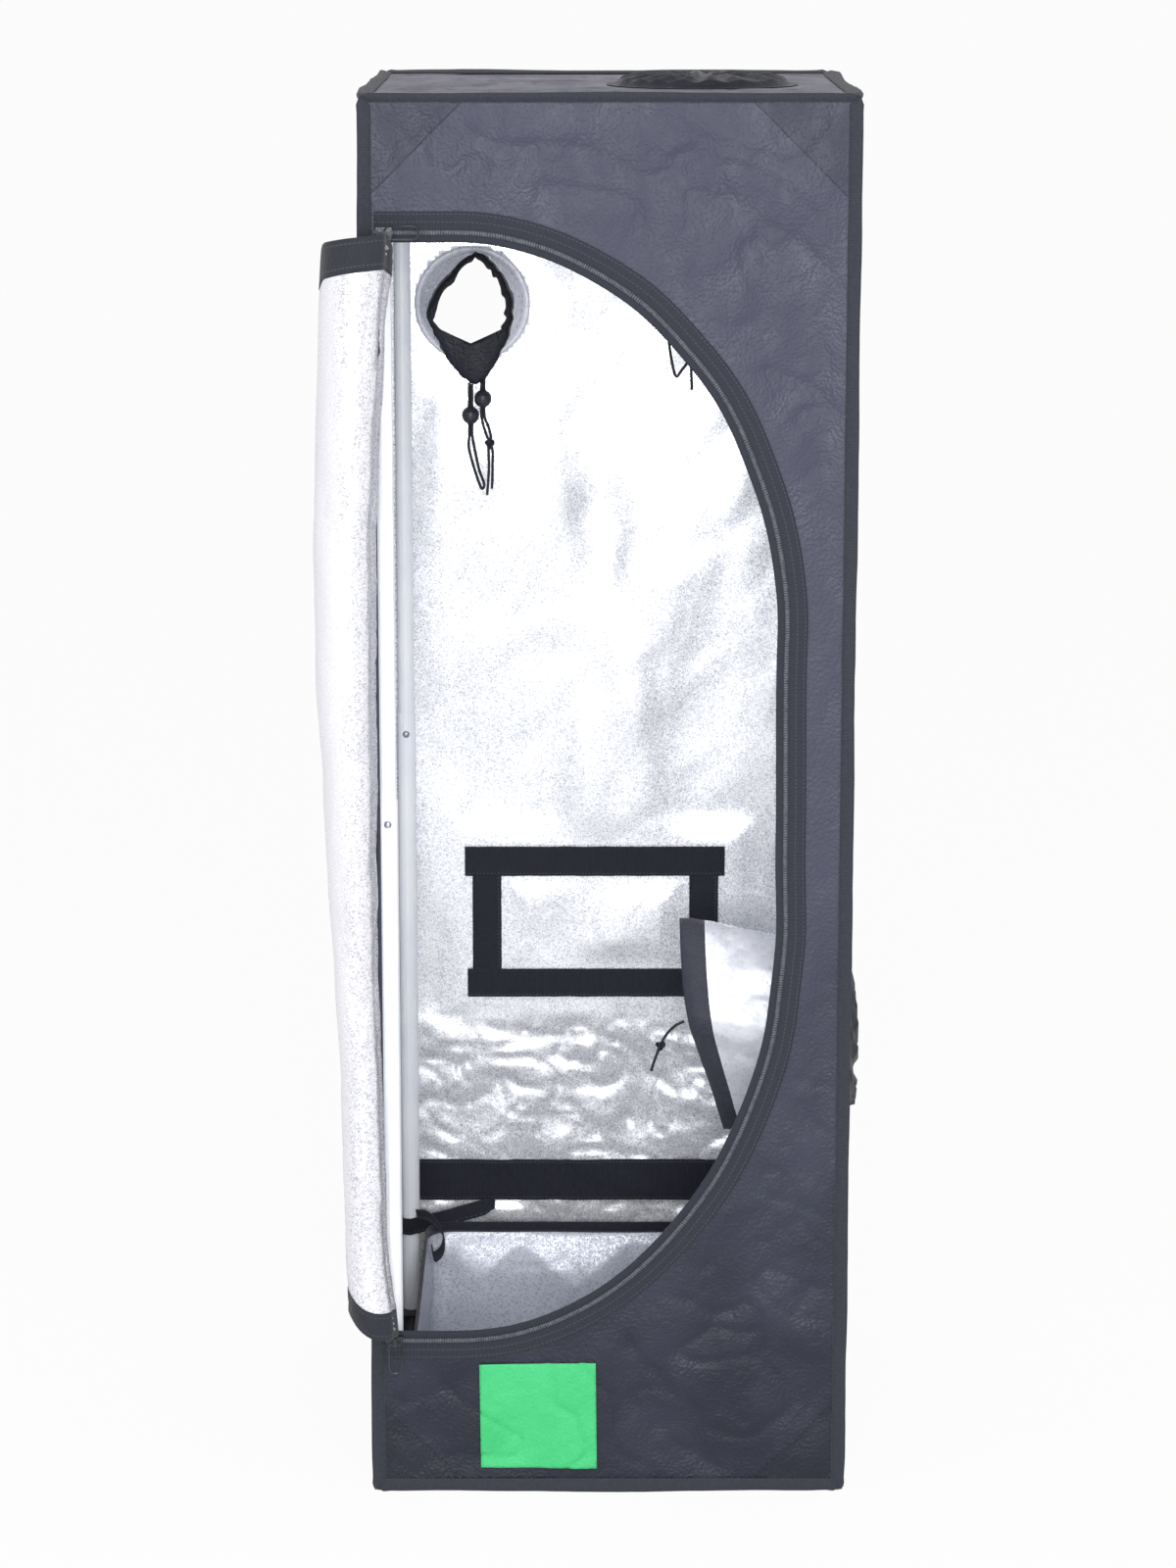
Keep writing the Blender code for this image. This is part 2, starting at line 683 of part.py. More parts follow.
def build_upright(corner, foot, upper_diameter):
    """The two sections of an upright, each with the hole for its snap button."""
    low = foot + WORLD_Z * (BASE_LEVEL + HUB_HALF + GAP)
    high = foot + WORLD_Z * (TOP_LEVEL - HUB_HALF - GAP)
    joint = foot + WORLD_Z * JOINT_HEIGHT
    plug = joint - WORLD_Z * JOINT_OVERLAP
    lower = tube(low, joint, WORLD_Z, LOWER_POLE_DIAMETER, POLE_WALL)
    upper = tube(plug, high, WORLD_Z, upper_diameter, POLE_WALL)
    axis = foot + WORLD_Z * BUTTON_LEVEL
    hole = rod(axis, axis - WORLD_Y * LOWER_POLE_DIAMETER, WORLD_Y, BUTTON_DIAMETER + 2 * GAP, BUTTON_SIDES)
    hole_cutter = add_object("button_cutter_" + corner, hole, "net")
    for name, section in (("lower_pole_", lower), ("upper_pole_", upper)):
        made = add_object(name + corner, section, "powder_coat")
        apply_boolean(made, hole_cutter, "DIFFERENCE")


def build_button(corner, foot, upper_bore):
    """A snap button: a domed pin through both sections, with a foot inside the upper one."""
    centre = foot + WORLD_Z * BUTTON_LEVEL
    tip = LOWER_POLE_DIAMETER / 2 + BUTTON_PROUD
    back = upper_bore / 2 - BUTTON_FOOT_DEPTH
    front = back + BUTTON_FOOT_THICKNESS
    pin = BUTTON_DIAMETER / 2
    shape = (
        (back, BUTTON_FOOT_DIAMETER / 2),
        (front, BUTTON_FOOT_DIAMETER / 2),
        (front, pin),
        (tip - pin / 2, pin),
        (tip - pin / 6, pin * cos(pi / 4)),
        (tip, pin / 3),
    )
    rings = [circle(centre - WORLD_Y * out, WORLD_Y, radius, BUTTON_SIDES) for out, radius in shape]
    add_object("snap_button_" + corner, loft(rings), "steel", origin=centre - WORLD_Y * tip)


def build_hanging_bar(name, y):
    """A bar across the tent with a hook at each end that rests on a top side rail."""
    inner = RAIL_DIAMETER / 2 + GAP
    outer = inner + BAR_HOOK_THICKNESS
    reach = AXIS - (inner + outer) / 2
    origin = Vector((0, y, TOP_LEVEL))
    bar = rod(origin - WORLD_X * reach, origin + WORLD_X * reach, WORLD_X, RAIL_DIAMETER)
    made = add_object(name, bar, "powder_coat", origin=origin)
    for side_name, sign in SIDES.items():
        rings = []
        for step in range(BAR_HOOK_STEPS + 1):
            turn_range = BAR_HOOK_END_TURN - BAR_HOOK_START_TURN
            turn = BAR_HOOK_START_TURN + turn_range * step / BAR_HOOK_STEPS
            out = Vector((-sign * cos(turn), 0, sin(turn)))
            middle = Vector((sign * AXIS, y, TOP_LEVEL))
            half_width = WORLD_Y * BAR_HOOK_WIDTH / 2
            rings.append(
                [
                    middle + out * inner - half_width,
                    middle + out * inner + half_width,
                    middle + out * outer + half_width,
                    middle + out * outer - half_width,
                ]
            )
        hook = add_object("_".join((name, side_name, "hook")), loft(rings), "moulding")
        apply_boolean(made, hook, "UNION")


def build_zip():
    """The zip's tape and coil on the front panel."""
    tape_front = FRONT_FACE - TAPE_THICKNESS
    tape = (
        (-TAPE_INNER, FRONT_FACE),
        (TAPE_OUTER, FRONT_FACE),
        (TAPE_OUTER, tape_front),
        (-TAPE_INNER, tape_front),
    )
    add_object("zip_tape", sweep_along_zip(tape), "edge_tape")
    edge = CHAIN_WIDTH / 2
    crest = edge * CHAIN_CREST_SHARE
    chain = (
        (-edge, CHAIN_BACK),
        (edge, CHAIN_BACK),
        (edge, (CHAIN_BACK + CHAIN_FRONT) / 2),
        (crest, CHAIN_FRONT),
        (-crest, CHAIN_FRONT),
        (-edge, (CHAIN_BACK + CHAIN_FRONT) / 2),
    )
    add_object("zip_chain", sweep_along_zip(chain), "zip_coil")


def slider_front():
    """How far out a slider's face lies."""
    return CHAIN_FRONT - SLIDER_CLEARANCE - SLIDER_PLATE


def build_slider(name, level, pull_direction):
    """A slider that straddles the coil, and the long ring that hangs in its bridge."""
    middle = Vector((ZIP_LEFT + SLIDER_FROM_END + SLIDER_LENGTH / 2, 0, level))
    face = slider_front()
    half_length = WORLD_X * SLIDER_LENGTH / 2
    half_width = WORLD_Z * SLIDER_WIDTH / 2
    back = WORLD_Y * CHAIN_BACK
    front = WORLD_Y * face
    origin = middle + front
    body = cuboid(middle - half_length - half_width + front, middle + half_length + half_width + back)
    slider = add_object(name + "_slider", body, "zip_metal", origin=origin)
    groove_side = WORLD_Z * (CHAIN_WIDTH / 2 + SLIDER_CLEARANCE)
    groove_end = half_length + WORLD_X * CUT_OVERRUN
    groove_top = WORLD_Y * (CHAIN_FRONT - SLIDER_CLEARANCE)
    groove_back = WORLD_Y * (CHAIN_BACK + CUT_OVERRUN)
    groove_reach = groove_end + groove_side
    groove = cuboid(middle - groove_reach + groove_top, middle + groove_reach + groove_back)
    apply_boolean(slider, add_object(name + "_slider_groove", groove, "net"), "DIFFERENCE")
    along = Vector(pull_direction)
    pin = along.cross(WORLD_Y)
    bridge_foot = WORLD_Y * (face + SLIDER_PLATE / 2)
    bridge_top = WORLD_Y * (face - BRIDGE_OPENING - BRIDGE_BAR)
    half_bridge = along * BRIDGE_LENGTH / 2 + pin * BRIDGE_WIDTH / 2
    bridge = cuboid(middle - half_bridge + bridge_foot, middle + half_bridge + bridge_top)
    opening_top = WORLD_Y * (face - BRIDGE_OPENING)
    opening_reach = along * (BRIDGE_LENGTH / 2 - BRIDGE_BAR) + pin * BRIDGE_WIDTH
    opening = cuboid(middle - opening_reach + front, middle + opening_reach + opening_top)
    bridge_object = add_object(name + "_bridge", bridge, "zip_metal")
    apply_boolean(bridge_object, add_object(name + "_bridge_opening", opening, "net"), "DIFFERENCE")
    apply_boolean(slider, bridge_object, "UNION")
    hinge = middle + WORLD_Y * (face - BRIDGE_OPENING / 2)
    build_pull(name + "_pull", hinge, along, pin, slider)


def build_pull(name, hinge, along, pin, slider):
    """A long wire ring whose near end is the bar inside the slider's bridge."""
    end_radius = PULL_WIDTH / 2 - PULL_BAR / 2
    straight = PULL_LENGTH - PULL_BAR - 2 * end_radius
    path = []
    for start, centre in ((pi, end_radius), (0, end_radius + straight)):
        for step in range(PULL_END_STEPS + 1):
            turn = start + pi * (step / PULL_END_STEPS - 1 / 2)
            path.append((centre + end_radius * cos(turn), end_radius * sin(turn)))
    rings = []
    for forward, aside in path:
        middle = Vector((end_radius, 0)) if forward < end_radius else Vector((end_radius + straight, 0))
        out = (Vector((forward, aside)) - middle).normalized()
        place = hinge + along * forward + pin * aside
        direction = along * out.x + pin * out.y
        turns = [2 * pi * (k + 0.5) / PULL_SIDES for k in range(PULL_SIDES)]
        rings.append([place + (direction * cos(t) + WORLD_Y * sin(t)) * PULL_BAR / 2 for t in turns])
    add_object(name, loft(rings, closed=True), "zip_metal", origin=hinge, parent=slider)


def station_value(share, column):
    """A value of the roll's table at a height share, eased between its stations."""
    for lower, upper in zip(ROLL_STATION_SHARES, ROLL_STATION_SHARES[1:]):
        if share <= upper[0]:
            t = (share - lower[0]) / (upper[0] - lower[0])
            eased = (1 - cos(pi * t)) / 2
            return lower[column] + (upper[column] - lower[column]) * eased
    return ROLL_STATION_SHARES[-1][column]


def roll_ring(share, extra=0.0, level=None):
    """A cross-section of the rolled door, wider by an extra, at its height share or another level."""
    radius = ROLL_RADIUS * station_value(share, 1)
    lean = radians(station_value(share, 2))
    middle = HINGE + Vector((sin(lean), -cos(lean), 0)) * (radius + ROLL_STANDOFF)
    height = ROLL_BOTTOM + (ROLL_TOP - ROLL_BOTTOM) * share
    base = height if level is None else level
    above_tape = max(0, height - ROLL_BOTTOM - DOOR_TAPE_HEIGHT)
    lift_share = max(0, 1 - above_tape / ROLL_LIFT_FADE)
    points = []
    for k in range(ROLL_SIDES):
        turn = 2 * pi * k / ROLL_SIDES
        spiral = ROLL_SPIRAL_STEP * (((turn - ROLL_SPIRAL_TURN) / (2 * pi)) % 1 - 1)
        reach = radius + extra + spiral - pinch_depth(turn, height)
        x = reach * sin(turn)
        y = -reach * cos(turn)
        left_share = (1 - sin(turn)) / 2
        lift = ROLL_CORNER_LIFT * lift_share * left_share**ROLL_CORNER_POWER
        points.append(middle + Vector((x, y, base + lift)))
    return points


def pinch_depth(turn, height):
    """How deep the pinched folds press the roll in at a turn and height."""
    depth = 0
    for share, degrees in ROLL_PINCH_SHARES:
        level = ROLL_BOTTOM + (ROLL_TOP - ROLL_BOTTOM) * share
        aside = (turn - radians(degrees) + pi) % (2 * pi) - pi
        spread = (aside / ROLL_PINCH_TURN) ** 2 + ((height - level) / ROLL_PINCH_HEIGHT) ** 2
        depth += ROLL_PINCH_DEPTH * exp(-spread)
    return depth


def build_door():
    """The door rolled up beside its opening, hung from the corner seam, with its taped ends."""
    pivot = add_pivot("door_pivot", HINGE)
    height = ROLL_TOP - ROLL_BOTTOM
    band_share = DOOR_TAPE_HEIGHT / height
    middle_shares = [band_share + (1 - 2 * band_share) * k / ROLL_LEVELS for k in range(ROLL_LEVELS + 1)]
    shares = [0] + middle_shares + [1]
    roll = add_object("door_roll", loft([roll_ring(share) for share in shares]), "mirror_cloth", HINGE, pivot)
    tape_share = (DOOR_TAPE_HEIGHT + ROLL_CORNER_LIFT) / height
    levels = [tape_share + (1 - 2 * tape_share) * k / ROLL_LEVELS for k in range(ROLL_LEVELS + 1)]
    rings = []
    for share in levels:
        section = roll_ring(share)
        middle = sum(section, Vector()) / len(section)
        inward = Vector((middle.x - HINGE.x, middle.y - HINGE.y, 0)).normalized()
        aside = inward.cross(WORLD_Z) * DOOR_SHEET / 2
        near = HINGE + WORLD_Z * middle.z
        far = near + inward * (ROLL_STANDOFF + DOOR_SHEET_BITE + ROLL_SPIRAL_STEP)
        rings.append([near - aside, near + aside, far + aside, far - aside])
    sheet = add_object("door_sheet", loft(rings), "mirror_cloth", HINGE, pivot)
    apply_boolean(roll, sheet, "UNION")
    tape_out = GAP + DOOR_TAPE_THICKNESS
    for name, end, band, beyond in (("top", 1, 1 - band_share, 1), ("bottom", 0, band_share, -1)):
        level = ROLL_BOTTOM + height * end
        rings = [
            roll_ring(end, GAP, level + beyond * GAP),
            roll_ring(band, GAP),
            roll_ring(band, tape_out),
            roll_ring(end, tape_out, level + beyond * tape_out),
        ]
        add_object("door_tape_" + name, loft(rings[::-beyond]), "edge_tape", HINGE, pivot)


def sleeve_ring(port, mouth, share, blend, inset):
    """A ring of a duct sleeve between its round neck and its mouth, drawn in by an inset."""
    points = []
    for k in range(SLEEVE_SIDES):
        turn = pi / 2 - 2 * pi * k / SLEEVE_SIDES
        neck = Vector((cos(turn), sin(turn), 0)) * (port.radius - SLEEVE_LIP)
        gather = SLEEVE_GATHER_DEPTH * blend * cos(2 * pi * k * SLEEVE_GATHERS / SLEEVE_SIDES)
        rim = mouth[k]
        flat = Vector((rim.x, rim.y, 0))
        centre = mouth_middle(mouth) * blend
        plain = neck.lerp(flat, blend)
        inward = (centre - plain).normalized()
        spot = plain + inward * (inset + gather)
        points.append(port.place(spot.x, share * rim.z, spot.y))
    return points


def mouth_middle(mouth):
    """The middle of a mouth's outline, across and up."""
    middle = sum(mouth, Vector()) / len(mouth)
    return Vector((middle.x, middle.y, 0))


def build_sleeve(name, port, length, mouth_shares):
    """An open duct sleeve: a flange on the panel, a neck that gathers to its mouth, and a hem."""
    spots = [Vector((x * port.radius, y * port.radius, z * length)) for x, y, z in mouth_shares]
    mouth = closed_curve(spots, SLEEVE_SIDES)
    hem_share = 1 - HEM_WIDTH / length
    flange = [
        flange_ring(port, port.radius + FLANGE_WIDTH, GAP),
        flange_ring(port, port.radius + FLANGE_WIDTH, GAP + FABRIC),
    ]
    outer = [sleeve_ring(port, mouth, share, blend, 0) for share, blend in SLEEVE_RING_SHARES]
    outer.append(sleeve_ring(port, mouth, hem_share, hem_share, 0))
    hem = [
        sleeve_ring(port, mouth, hem_share, hem_share, -HEM_EXTRA),
        sleeve_ring(port, mouth, 1, 1, -HEM_EXTRA),
        sleeve_ring(port, mouth, 1, 1, FABRIC),
    ]
    inner = [sleeve_ring(port, mouth, share, blend, FABRIC) for share, blend in SLEEVE_RING_SHARES]
    neck = flange_ring(port, port.radius - SLEEVE_LIP - FABRIC, GAP)
    add_object(name, loft(flange + outer + hem + inner[::-1] + [neck], closed=True), "grey_cloth")


def flange_ring(port, radius, outward):
    """A circle about a port."""
    turns = [pi / 2 - 2 * pi * k / SLEEVE_SIDES for k in range(SLEEVE_SIDES)]
    return [port.place(radius * cos(turn), outward, radius * sin(turn)) for turn in turns]


def build_rosette(name, port, bulge, sag):
    """An outer sleeve drawn shut: a pleated rosette over its port, sagging to one side."""
    def ring(radius, out, drop, pleat, inset):
        points = []
        for k in range(ROSETTE_SIDES):
            turn = 2 * pi * k / ROSETTE_SIDES
            wave = ROSETTE_PLEAT * pleat * cos(turn * ROSETTE_GATHERS)
            reach = max(radius - inset, FABRIC)
            height = FABRIC + GAP + out + wave - inset
            points.append(port.place(reach * cos(turn), -FABRIC - height, reach * sin(turn) - drop))
        return points

    body = [(r * port.radius, b * bulge, s * sag, p) for r, b, s, p in ROSETTE_RING_SHARES]
    edge = port.radius + FLANGE_WIDTH
    upper = [ring(radius, out, drop, pleat, 0) for radius, out, drop, pleat in body]
    under = [ring(radius, out, drop, pleat, FABRIC) for radius, out, drop, pleat in body]
    flange = [ring(edge, 0, 0, 0, 0), ring(edge + FABRIC, 0, 0, 0, FABRIC)]
    root = ring(port.radius + FABRIC, 0, 0, 0, FABRIC)
    neck = ring(port.radius, 0, 0, 0, 0)
    add_object(name, loft(under[::-1] + [root] + flange[::-1] + [neck] + upper), "outer_cloth")


def build_window():
    """The vent's net, its lift-up flap and the strips that border the flap."""
    low, high = window_corners()
    outside = HALF + GAP
    mesh_low = (low.x - MESH_OVERLAP, outside, low.z - MESH_OVERLAP)
    mesh_high = (high.x + MESH_OVERLAP, outside + MESH_THICKNESS, high.z + MESH_OVERLAP)
    add_object("vent_net", cuboid(mesh_low, mesh_high), "net")
    back = INSIDE - GAP
    front = back - FLAP_THICKNESS
    strip_back = front - GAP
    strip_front = strip_back - STRIP_THICKNESS
    lap = Vector((FLAP_LAP, 0, FLAP_LAP))
    left_low = low - lap
    right_high = high + lap
    hinge = Vector((0, strip_front, left_low.z))
    pivot = add_pivot("vent_flap_pivot", hinge)
    sheet = cuboid(left_low + WORLD_Y * front, right_high + WORLD_Y * back)
    add_object("vent_flap", sheet, "mirror_cloth", hinge, pivot)
    over = WORLD_X * STRIP_OVERHANG
    border = None
    pieces = {
        "lower": (left_low - over, Vector((right_high.x, 0, left_low.z + STRIP_WIDTH)) + over),
        "upper": (Vector((left_low.x, 0, right_high.z - STRIP_WIDTH)) - over, right_high + over),
        "left": (left_low, Vector((left_low.x + STRIP_WIDTH, 0, right_high.z))),
        "right": (Vector((right_high.x - STRIP_WIDTH, 0, left_low.z)), right_high),
    }
    for name, (corner, far_corner) in pieces.items():
        strip = cuboid(corner + WORLD_Y * strip_front, far_corner + WORLD_Y * strip_back)
        if border is None:
            border = add_object("vent_flap_border", strip, "webbing", hinge, pivot)
        else:
            helper = add_object("vent_strip_" + name, strip, "webbing", hinge, pivot)
            apply_boolean(border, helper, "UNION")


def build_band():
    """The webbing band sewn across the back panel."""
    back = INSIDE - GAP
    low = (-back, back - BAND_THICKNESS, BAND_HEIGHT)
    high = (back, back, BAND_HEIGHT + BAND_WIDTH)
    add_object("back_band", cuboid(low, high), "webbing")


def tray_outline(half, radius, wave):
    """A rounded square, with its straight sides bowed in by three shallow waves."""
    straight = half - radius
    points = []
    for quarter in range(4):
        spin = Matrix.Rotation(quarter * pi / 2, 2)
        for step in range(TRAY_SIDE_STEPS):
            share = step / TRAY_SIDE_STEPS
            ripple = wave * sin(pi * share) * (1 + sin(3 * pi * share + quarter)) / 2
            side = Vector((half, -straight)).lerp(Vector((half, straight)), share)
            points.append(spin @ (side - Vector((ripple, 0))))
        for step in range(TRAY_CORNER_STEPS):
            turn = pi / 2 * step / TRAY_CORNER_STEPS
            points.append(spin @ Vector((straight + radius * cos(turn), straight + radius * sin(turn))))
    return points


def build_tray():
    """The lift-out spill tray with a bound rim, and the strap that holds it to an upright."""
    half = AXIS - HUB_HALF - TRAY_CLEARANCE
    floor = FABRIC + GAP
    top = TRAY_HEIGHT + floor
    rim_low = top - TRAY_RIM_HEIGHT

    def ring(inset, level, wave=0.0):
        outline = tray_outline(half - inset, TRAY_CORNER_RADIUS - inset, wave)
        return [Vector((point.x, point.y, level)) for point in outline]

    waves = [(share, TRAY_WAVE * sin(pi * share)) for share in TRAY_LEVEL_SHARES]
    levels = [(floor + (rim_low - floor) * share, wave) for share, wave in waves]
    inner = [ring(FABRIC, level + FABRIC, wave) for level, wave in levels]
    outer = [ring(0, level, wave) for level, wave in levels]
    rim = [
        ring(FABRIC, top),
        ring(-TRAY_RIM_THICKNESS, top),
        ring(-TRAY_RIM_THICKNESS, rim_low),
        ring(0, rim_low),
    ]
    tray = add_object("spill_tray", loft(inner + rim + outer[::-1]), "grey_cloth", (0, 0, floor))
    build_strap(half + TRAY_RIM_THICKNESS, tray)


def build_strap(rim_face, tray):
    """A strap looped round the back left upright, its loose tail lying along the tray's rim."""
    radius = LOWER_POLE_DIAMETER / 2 + STRAP_POLE_CLEARANCE + STRAP_THICKNESS / 2
    centre = Vector((-AXIS, AXIS, STRAP_HEIGHT))
    tail_y = rim_face + GAP + STRAP_THICKNESS / 2
    path = []
    for step in range(STRAP_RING_STEPS + 1):
        turn = -pi / 2 - STRAP_RING_TURN * (1 - step / STRAP_RING_STEPS)
        path.append(centre + Vector((cos(turn), sin(turn), 0)) * radius)
    start = path[-1]
    for step in range(1, STRAP_TAIL_STEPS + 1):
        share = step / STRAP_TAIL_STEPS
        settle = min(1, share * 2)
        eased = (1 - cos(pi * settle)) / 2
        y = start.y + (tail_y - start.y) * eased
        path.append(Vector((start.x + STRAP_TAIL_LENGTH * share, y, start.z + STRAP_TAIL_RISE * share)))
    rings = []
    for before, point, after in zip(path[:1] + path, path, path[1:] + path[-1:]):
        ahead = after - before
        aside = Vector((-ahead.y, ahead.x, 0)).normalized() * STRAP_THICKNESS / 2
        rise = WORLD_Z * STRAP_WIDTH
        rings.append([point - aside, point + aside, point + aside + rise, point - aside + rise])
    add_object("tray_strap", loft(rings), "webbing", tray.location, tray)


def build_cord(name, port, route):
    """A drawstring along its route from a port."""
    data = bpy.data.curves.new(name, "CURVE")
    data.dimensions = "3D"
    data.bevel_depth = CORD_DIAMETER / 2
    data.bevel_resolution = CORD_BEVEL_RESOLUTION
    data.use_fill_caps = True
    points = cord_points([port.place(*place) for place in route])
    spline = data.splines.new("POLY")
    spline.points.add(len(points) - 1)
    for spot, point in zip(spline.points, points):
        spot.co = (*point, 1)
    thing = bpy.data.objects.new(name, data)
    bpy.context.scene.collection.objects.link(thing)
    give_finish(thing, "cord")


def build_lock(name, port, across, drop):
    """A ball lock: two strands cross a bored ball, and a sprung plunger grips them."""
    centre = port.place(across, LOCK_OUTWARD, -drop)
    radius = LOCK_DIAMETER / 2
    rings = []
    for k in range(1, LOCK_RINGS):
        turn = pi * k / LOCK_RINGS
        level = centre - WORLD_Z * radius * cos(turn)
        rings.append(circle(level, WORLD_Z, radius * sin(turn), LOCK_SIDES))
    ball = add_object(name, loft(rings), "moulding", origin=centre)
    half_across = WORLD_X * (STRAND_SPACING / 2 + CORD_DIAMETER / 2 + STRAND_CLEARANCE)
    half_deep = WORLD_Y * (CORD_DIAMETER / 2 + STRAND_CLEARANCE)
    tall = WORLD_Z * (radius + CUT_OVERRUN)
    slot = cuboid(centre - half_across - half_deep - tall, centre + half_across + half_deep + tall)
    apply_boolean(ball, add_object(name + "_slot", slot, "net"), "DIFFERENCE")
    floor = centre - WORLD_Y * (radius - LOCK_FRONT_WALL)
    bore = rod(floor, centre + WORLD_Y * (radius + CUT_OVERRUN), WORLD_Y, LOCK_BORE_DIAMETER)
    apply_boolean(ball, add_object(name + "_bore", bore, "net"), "DIFFERENCE")
    inner = centre - half_deep - WORLD_Y * PLUNGER_WEB
    outer = centre + WORLD_Y * (radius + PLUNGER_PROUD)
    plunger = rod(inner, outer, WORLD_Y, PLUNGER_DIAMETER)
    made = add_object(name + "_plunger", plunger, "moulding", outer, None)
    travel = WORLD_Y * PLUNGER_TRAVEL
    hole = cuboid(centre - half_across - half_deep - tall, centre + half_across + half_deep + travel + tall)
    apply_boolean(made, add_object(name + "_plunger_hole", hole, "net"), "DIFFERENCE")


def main():
    """Build the tent."""
    clear_scene()
    ports = make_ports()
    build_cover(ports)
    build_frame()
    build_zip()
    build_slider("upper", ZIP_TOP, WORLD_X)
    build_slider("lower", ZIP_SILL, -WORLD_Z)
    build_door()
    build_sleeve("back_sleeve", ports["back"], BACK_SLEEVE_LENGTH, BACK_MOUTH_SHARES)
    build_sleeve("side_sleeve_inner", ports["side"], SIDE_SLEEVE_LENGTH, SIDE_MOUTH_SHARES)
    build_sleeve("roof_sleeve_inner", ports["roof"], ROOF_SLEEVE_LENGTH, ROOF_MOUTH_SHARES)
    build_rosette("side_sleeve_outer", ports["side"], SIDE_ROSETTE_BULGE, SIDE_ROSETTE_SAG)
    build_rosette("roof_sleeve_outer", ports["roof"], ROOF_ROSETTE_BULGE, ROOF_ROSETTE_SAG)
    build_window()
    build_band()
    build_tray()
    build_lock("cord_lock_a", ports["back"], LOCK_A_ACROSS, LOCK_A_DROP)
    build_lock("cord_lock_b", ports["back"], LOCK_B_ACROSS, LOCK_B_DROP)
    build_cord("back_cord_a", ports["back"], BACK_CORD_A_ROUTE)
    build_cord("back_cord_b", ports["back"], BACK_CORD_B_ROUTE)
    build_cord("back_cord_tails", ports["back"], BACK_CORD_TAILS_ROUTE)
    build_cord("side_cord", ports["side"], SIDE_CORD_ROUTE)
    build_cord("roof_cord_loop", ports["roof"], ROOF_CORD_LOOP_ROUTE)
    build_cord("roof_cord_end", ports["roof"], ROOF_CORD_END_ROUTE)


main()
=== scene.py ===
# %% [markdown]
# A small grow tent is a cloth box on a plug-together tube frame. Its frame, sliders and cord locks
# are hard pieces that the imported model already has, so they only get better finishes here. All that
# is cloth is made again, because cloth folds, gathers and puckers in ways that plain solids can't show.

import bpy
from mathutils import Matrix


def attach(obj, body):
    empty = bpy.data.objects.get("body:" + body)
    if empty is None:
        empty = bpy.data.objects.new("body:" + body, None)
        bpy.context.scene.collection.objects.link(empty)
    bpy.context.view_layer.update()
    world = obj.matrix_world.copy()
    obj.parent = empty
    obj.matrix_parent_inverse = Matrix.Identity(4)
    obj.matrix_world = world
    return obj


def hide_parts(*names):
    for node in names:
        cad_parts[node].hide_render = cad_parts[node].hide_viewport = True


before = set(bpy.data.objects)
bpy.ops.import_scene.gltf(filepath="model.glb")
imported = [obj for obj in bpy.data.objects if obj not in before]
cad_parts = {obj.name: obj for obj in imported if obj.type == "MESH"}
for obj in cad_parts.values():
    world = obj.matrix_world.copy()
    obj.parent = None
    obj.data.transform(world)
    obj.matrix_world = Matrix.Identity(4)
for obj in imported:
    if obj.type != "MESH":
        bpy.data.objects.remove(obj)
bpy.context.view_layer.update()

# %% The tools that the cells below use
from math import ceil, cos, exp, hypot, pi, radians, sin, sqrt

import bmesh
import bpy
from mathutils import Matrix, Vector, noise

# %% [markdown]
# The camera comes first. The tent was photographed from well back with a long lens, at about head
# height, so its upright edges stay nearly parallel and only a sliver of the roof shows.

# %% Set the camera
camera_data = bpy.data.cameras.new("camera")
camera_data.lens = 93.96
camera = bpy.data.objects.new("camera", camera_data)
camera.location = (-0.024, -3.526, 1.361)
camera.rotation_euler = (radians(90 - 12.47), 0, radians(-0.11))
bpy.context.scene.collection.objects.link(camera)
bpy.context.scene.camera = camera
bpy.context.scene.view_settings.view_transform = "Standard"
print("camera at", tuple(camera.location))

# %% [markdown]
# Sizes of the sewn cover, in metres. They repeat the part's own sizes, so that each piece of cloth
# lies where its solid does.

# %% Sizes of the cover
MM = 0.001
HALF, HEIGHT = 0.200, 1.190
CLOTH, FILM = 0.0010, 0.0008
INNER, SEAM = 0.1988, 0.1984
LOW, HIGH = 0.0018, HEIGHT - 0.0018
POLE_AXIS = 0.185
ZIP_TOP, ZIP_SILL, ZIP_LEFT, ZIP_RIGHT = 1.082, 0.137, -0.1907, 0.147
ARC_WIDTH, UPPER_ARC, LOWER_ARC = 0.277, 0.332, 0.363
UPPER_BEND, LOWER_BEND = 0.75, 0.50
ZIP_MIDDLE = ZIP_RIGHT - ARC_WIDTH
TAPE_INNER, TAPE_OUTER = 0.008, 0.017
print("door opening", ZIP_RIGHT - ZIP_LEFT, "by", ZIP_TOP - ZIP_SILL)

# %% [markdown]
# A few helpers serve every material. The first turns a colour, an sRGB hex value, into
# the linear value that a shader wants. The second adds one node with its settings and links. The
# third starts a material with the shader's own plain values, and the fourth links the finished
# colour, relief and roughness to it. The rest stand for nodes that come up again and again.

# %% Material helpers
def linear(code):
    """Linear red, green and blue of an sRGB hex colour."""
    found = []
    for place in (1, 3, 5):
        value = int(code[place : place + 2], 16) / 255
        found.append(value / 12.92 if value <= 0.04045 else ((value + 0.055) / 1.055) ** 2.4)
    return (*found, 1)


def add_node(material, kind, settings=None, values=None):
    """Add a node. A value that is another node's socket is linked, and any other value is set."""
    made = material.node_tree.nodes.new(kind)
    for name, value in (settings or {}).items():
        setattr(made, name, value)
    for name, value in (values or {}).items():
        if isinstance(value, bpy.types.NodeSocket):
            material.node_tree.links.new(value, made.inputs[name])
        else:
            made.inputs[name].default_value = value
    return made


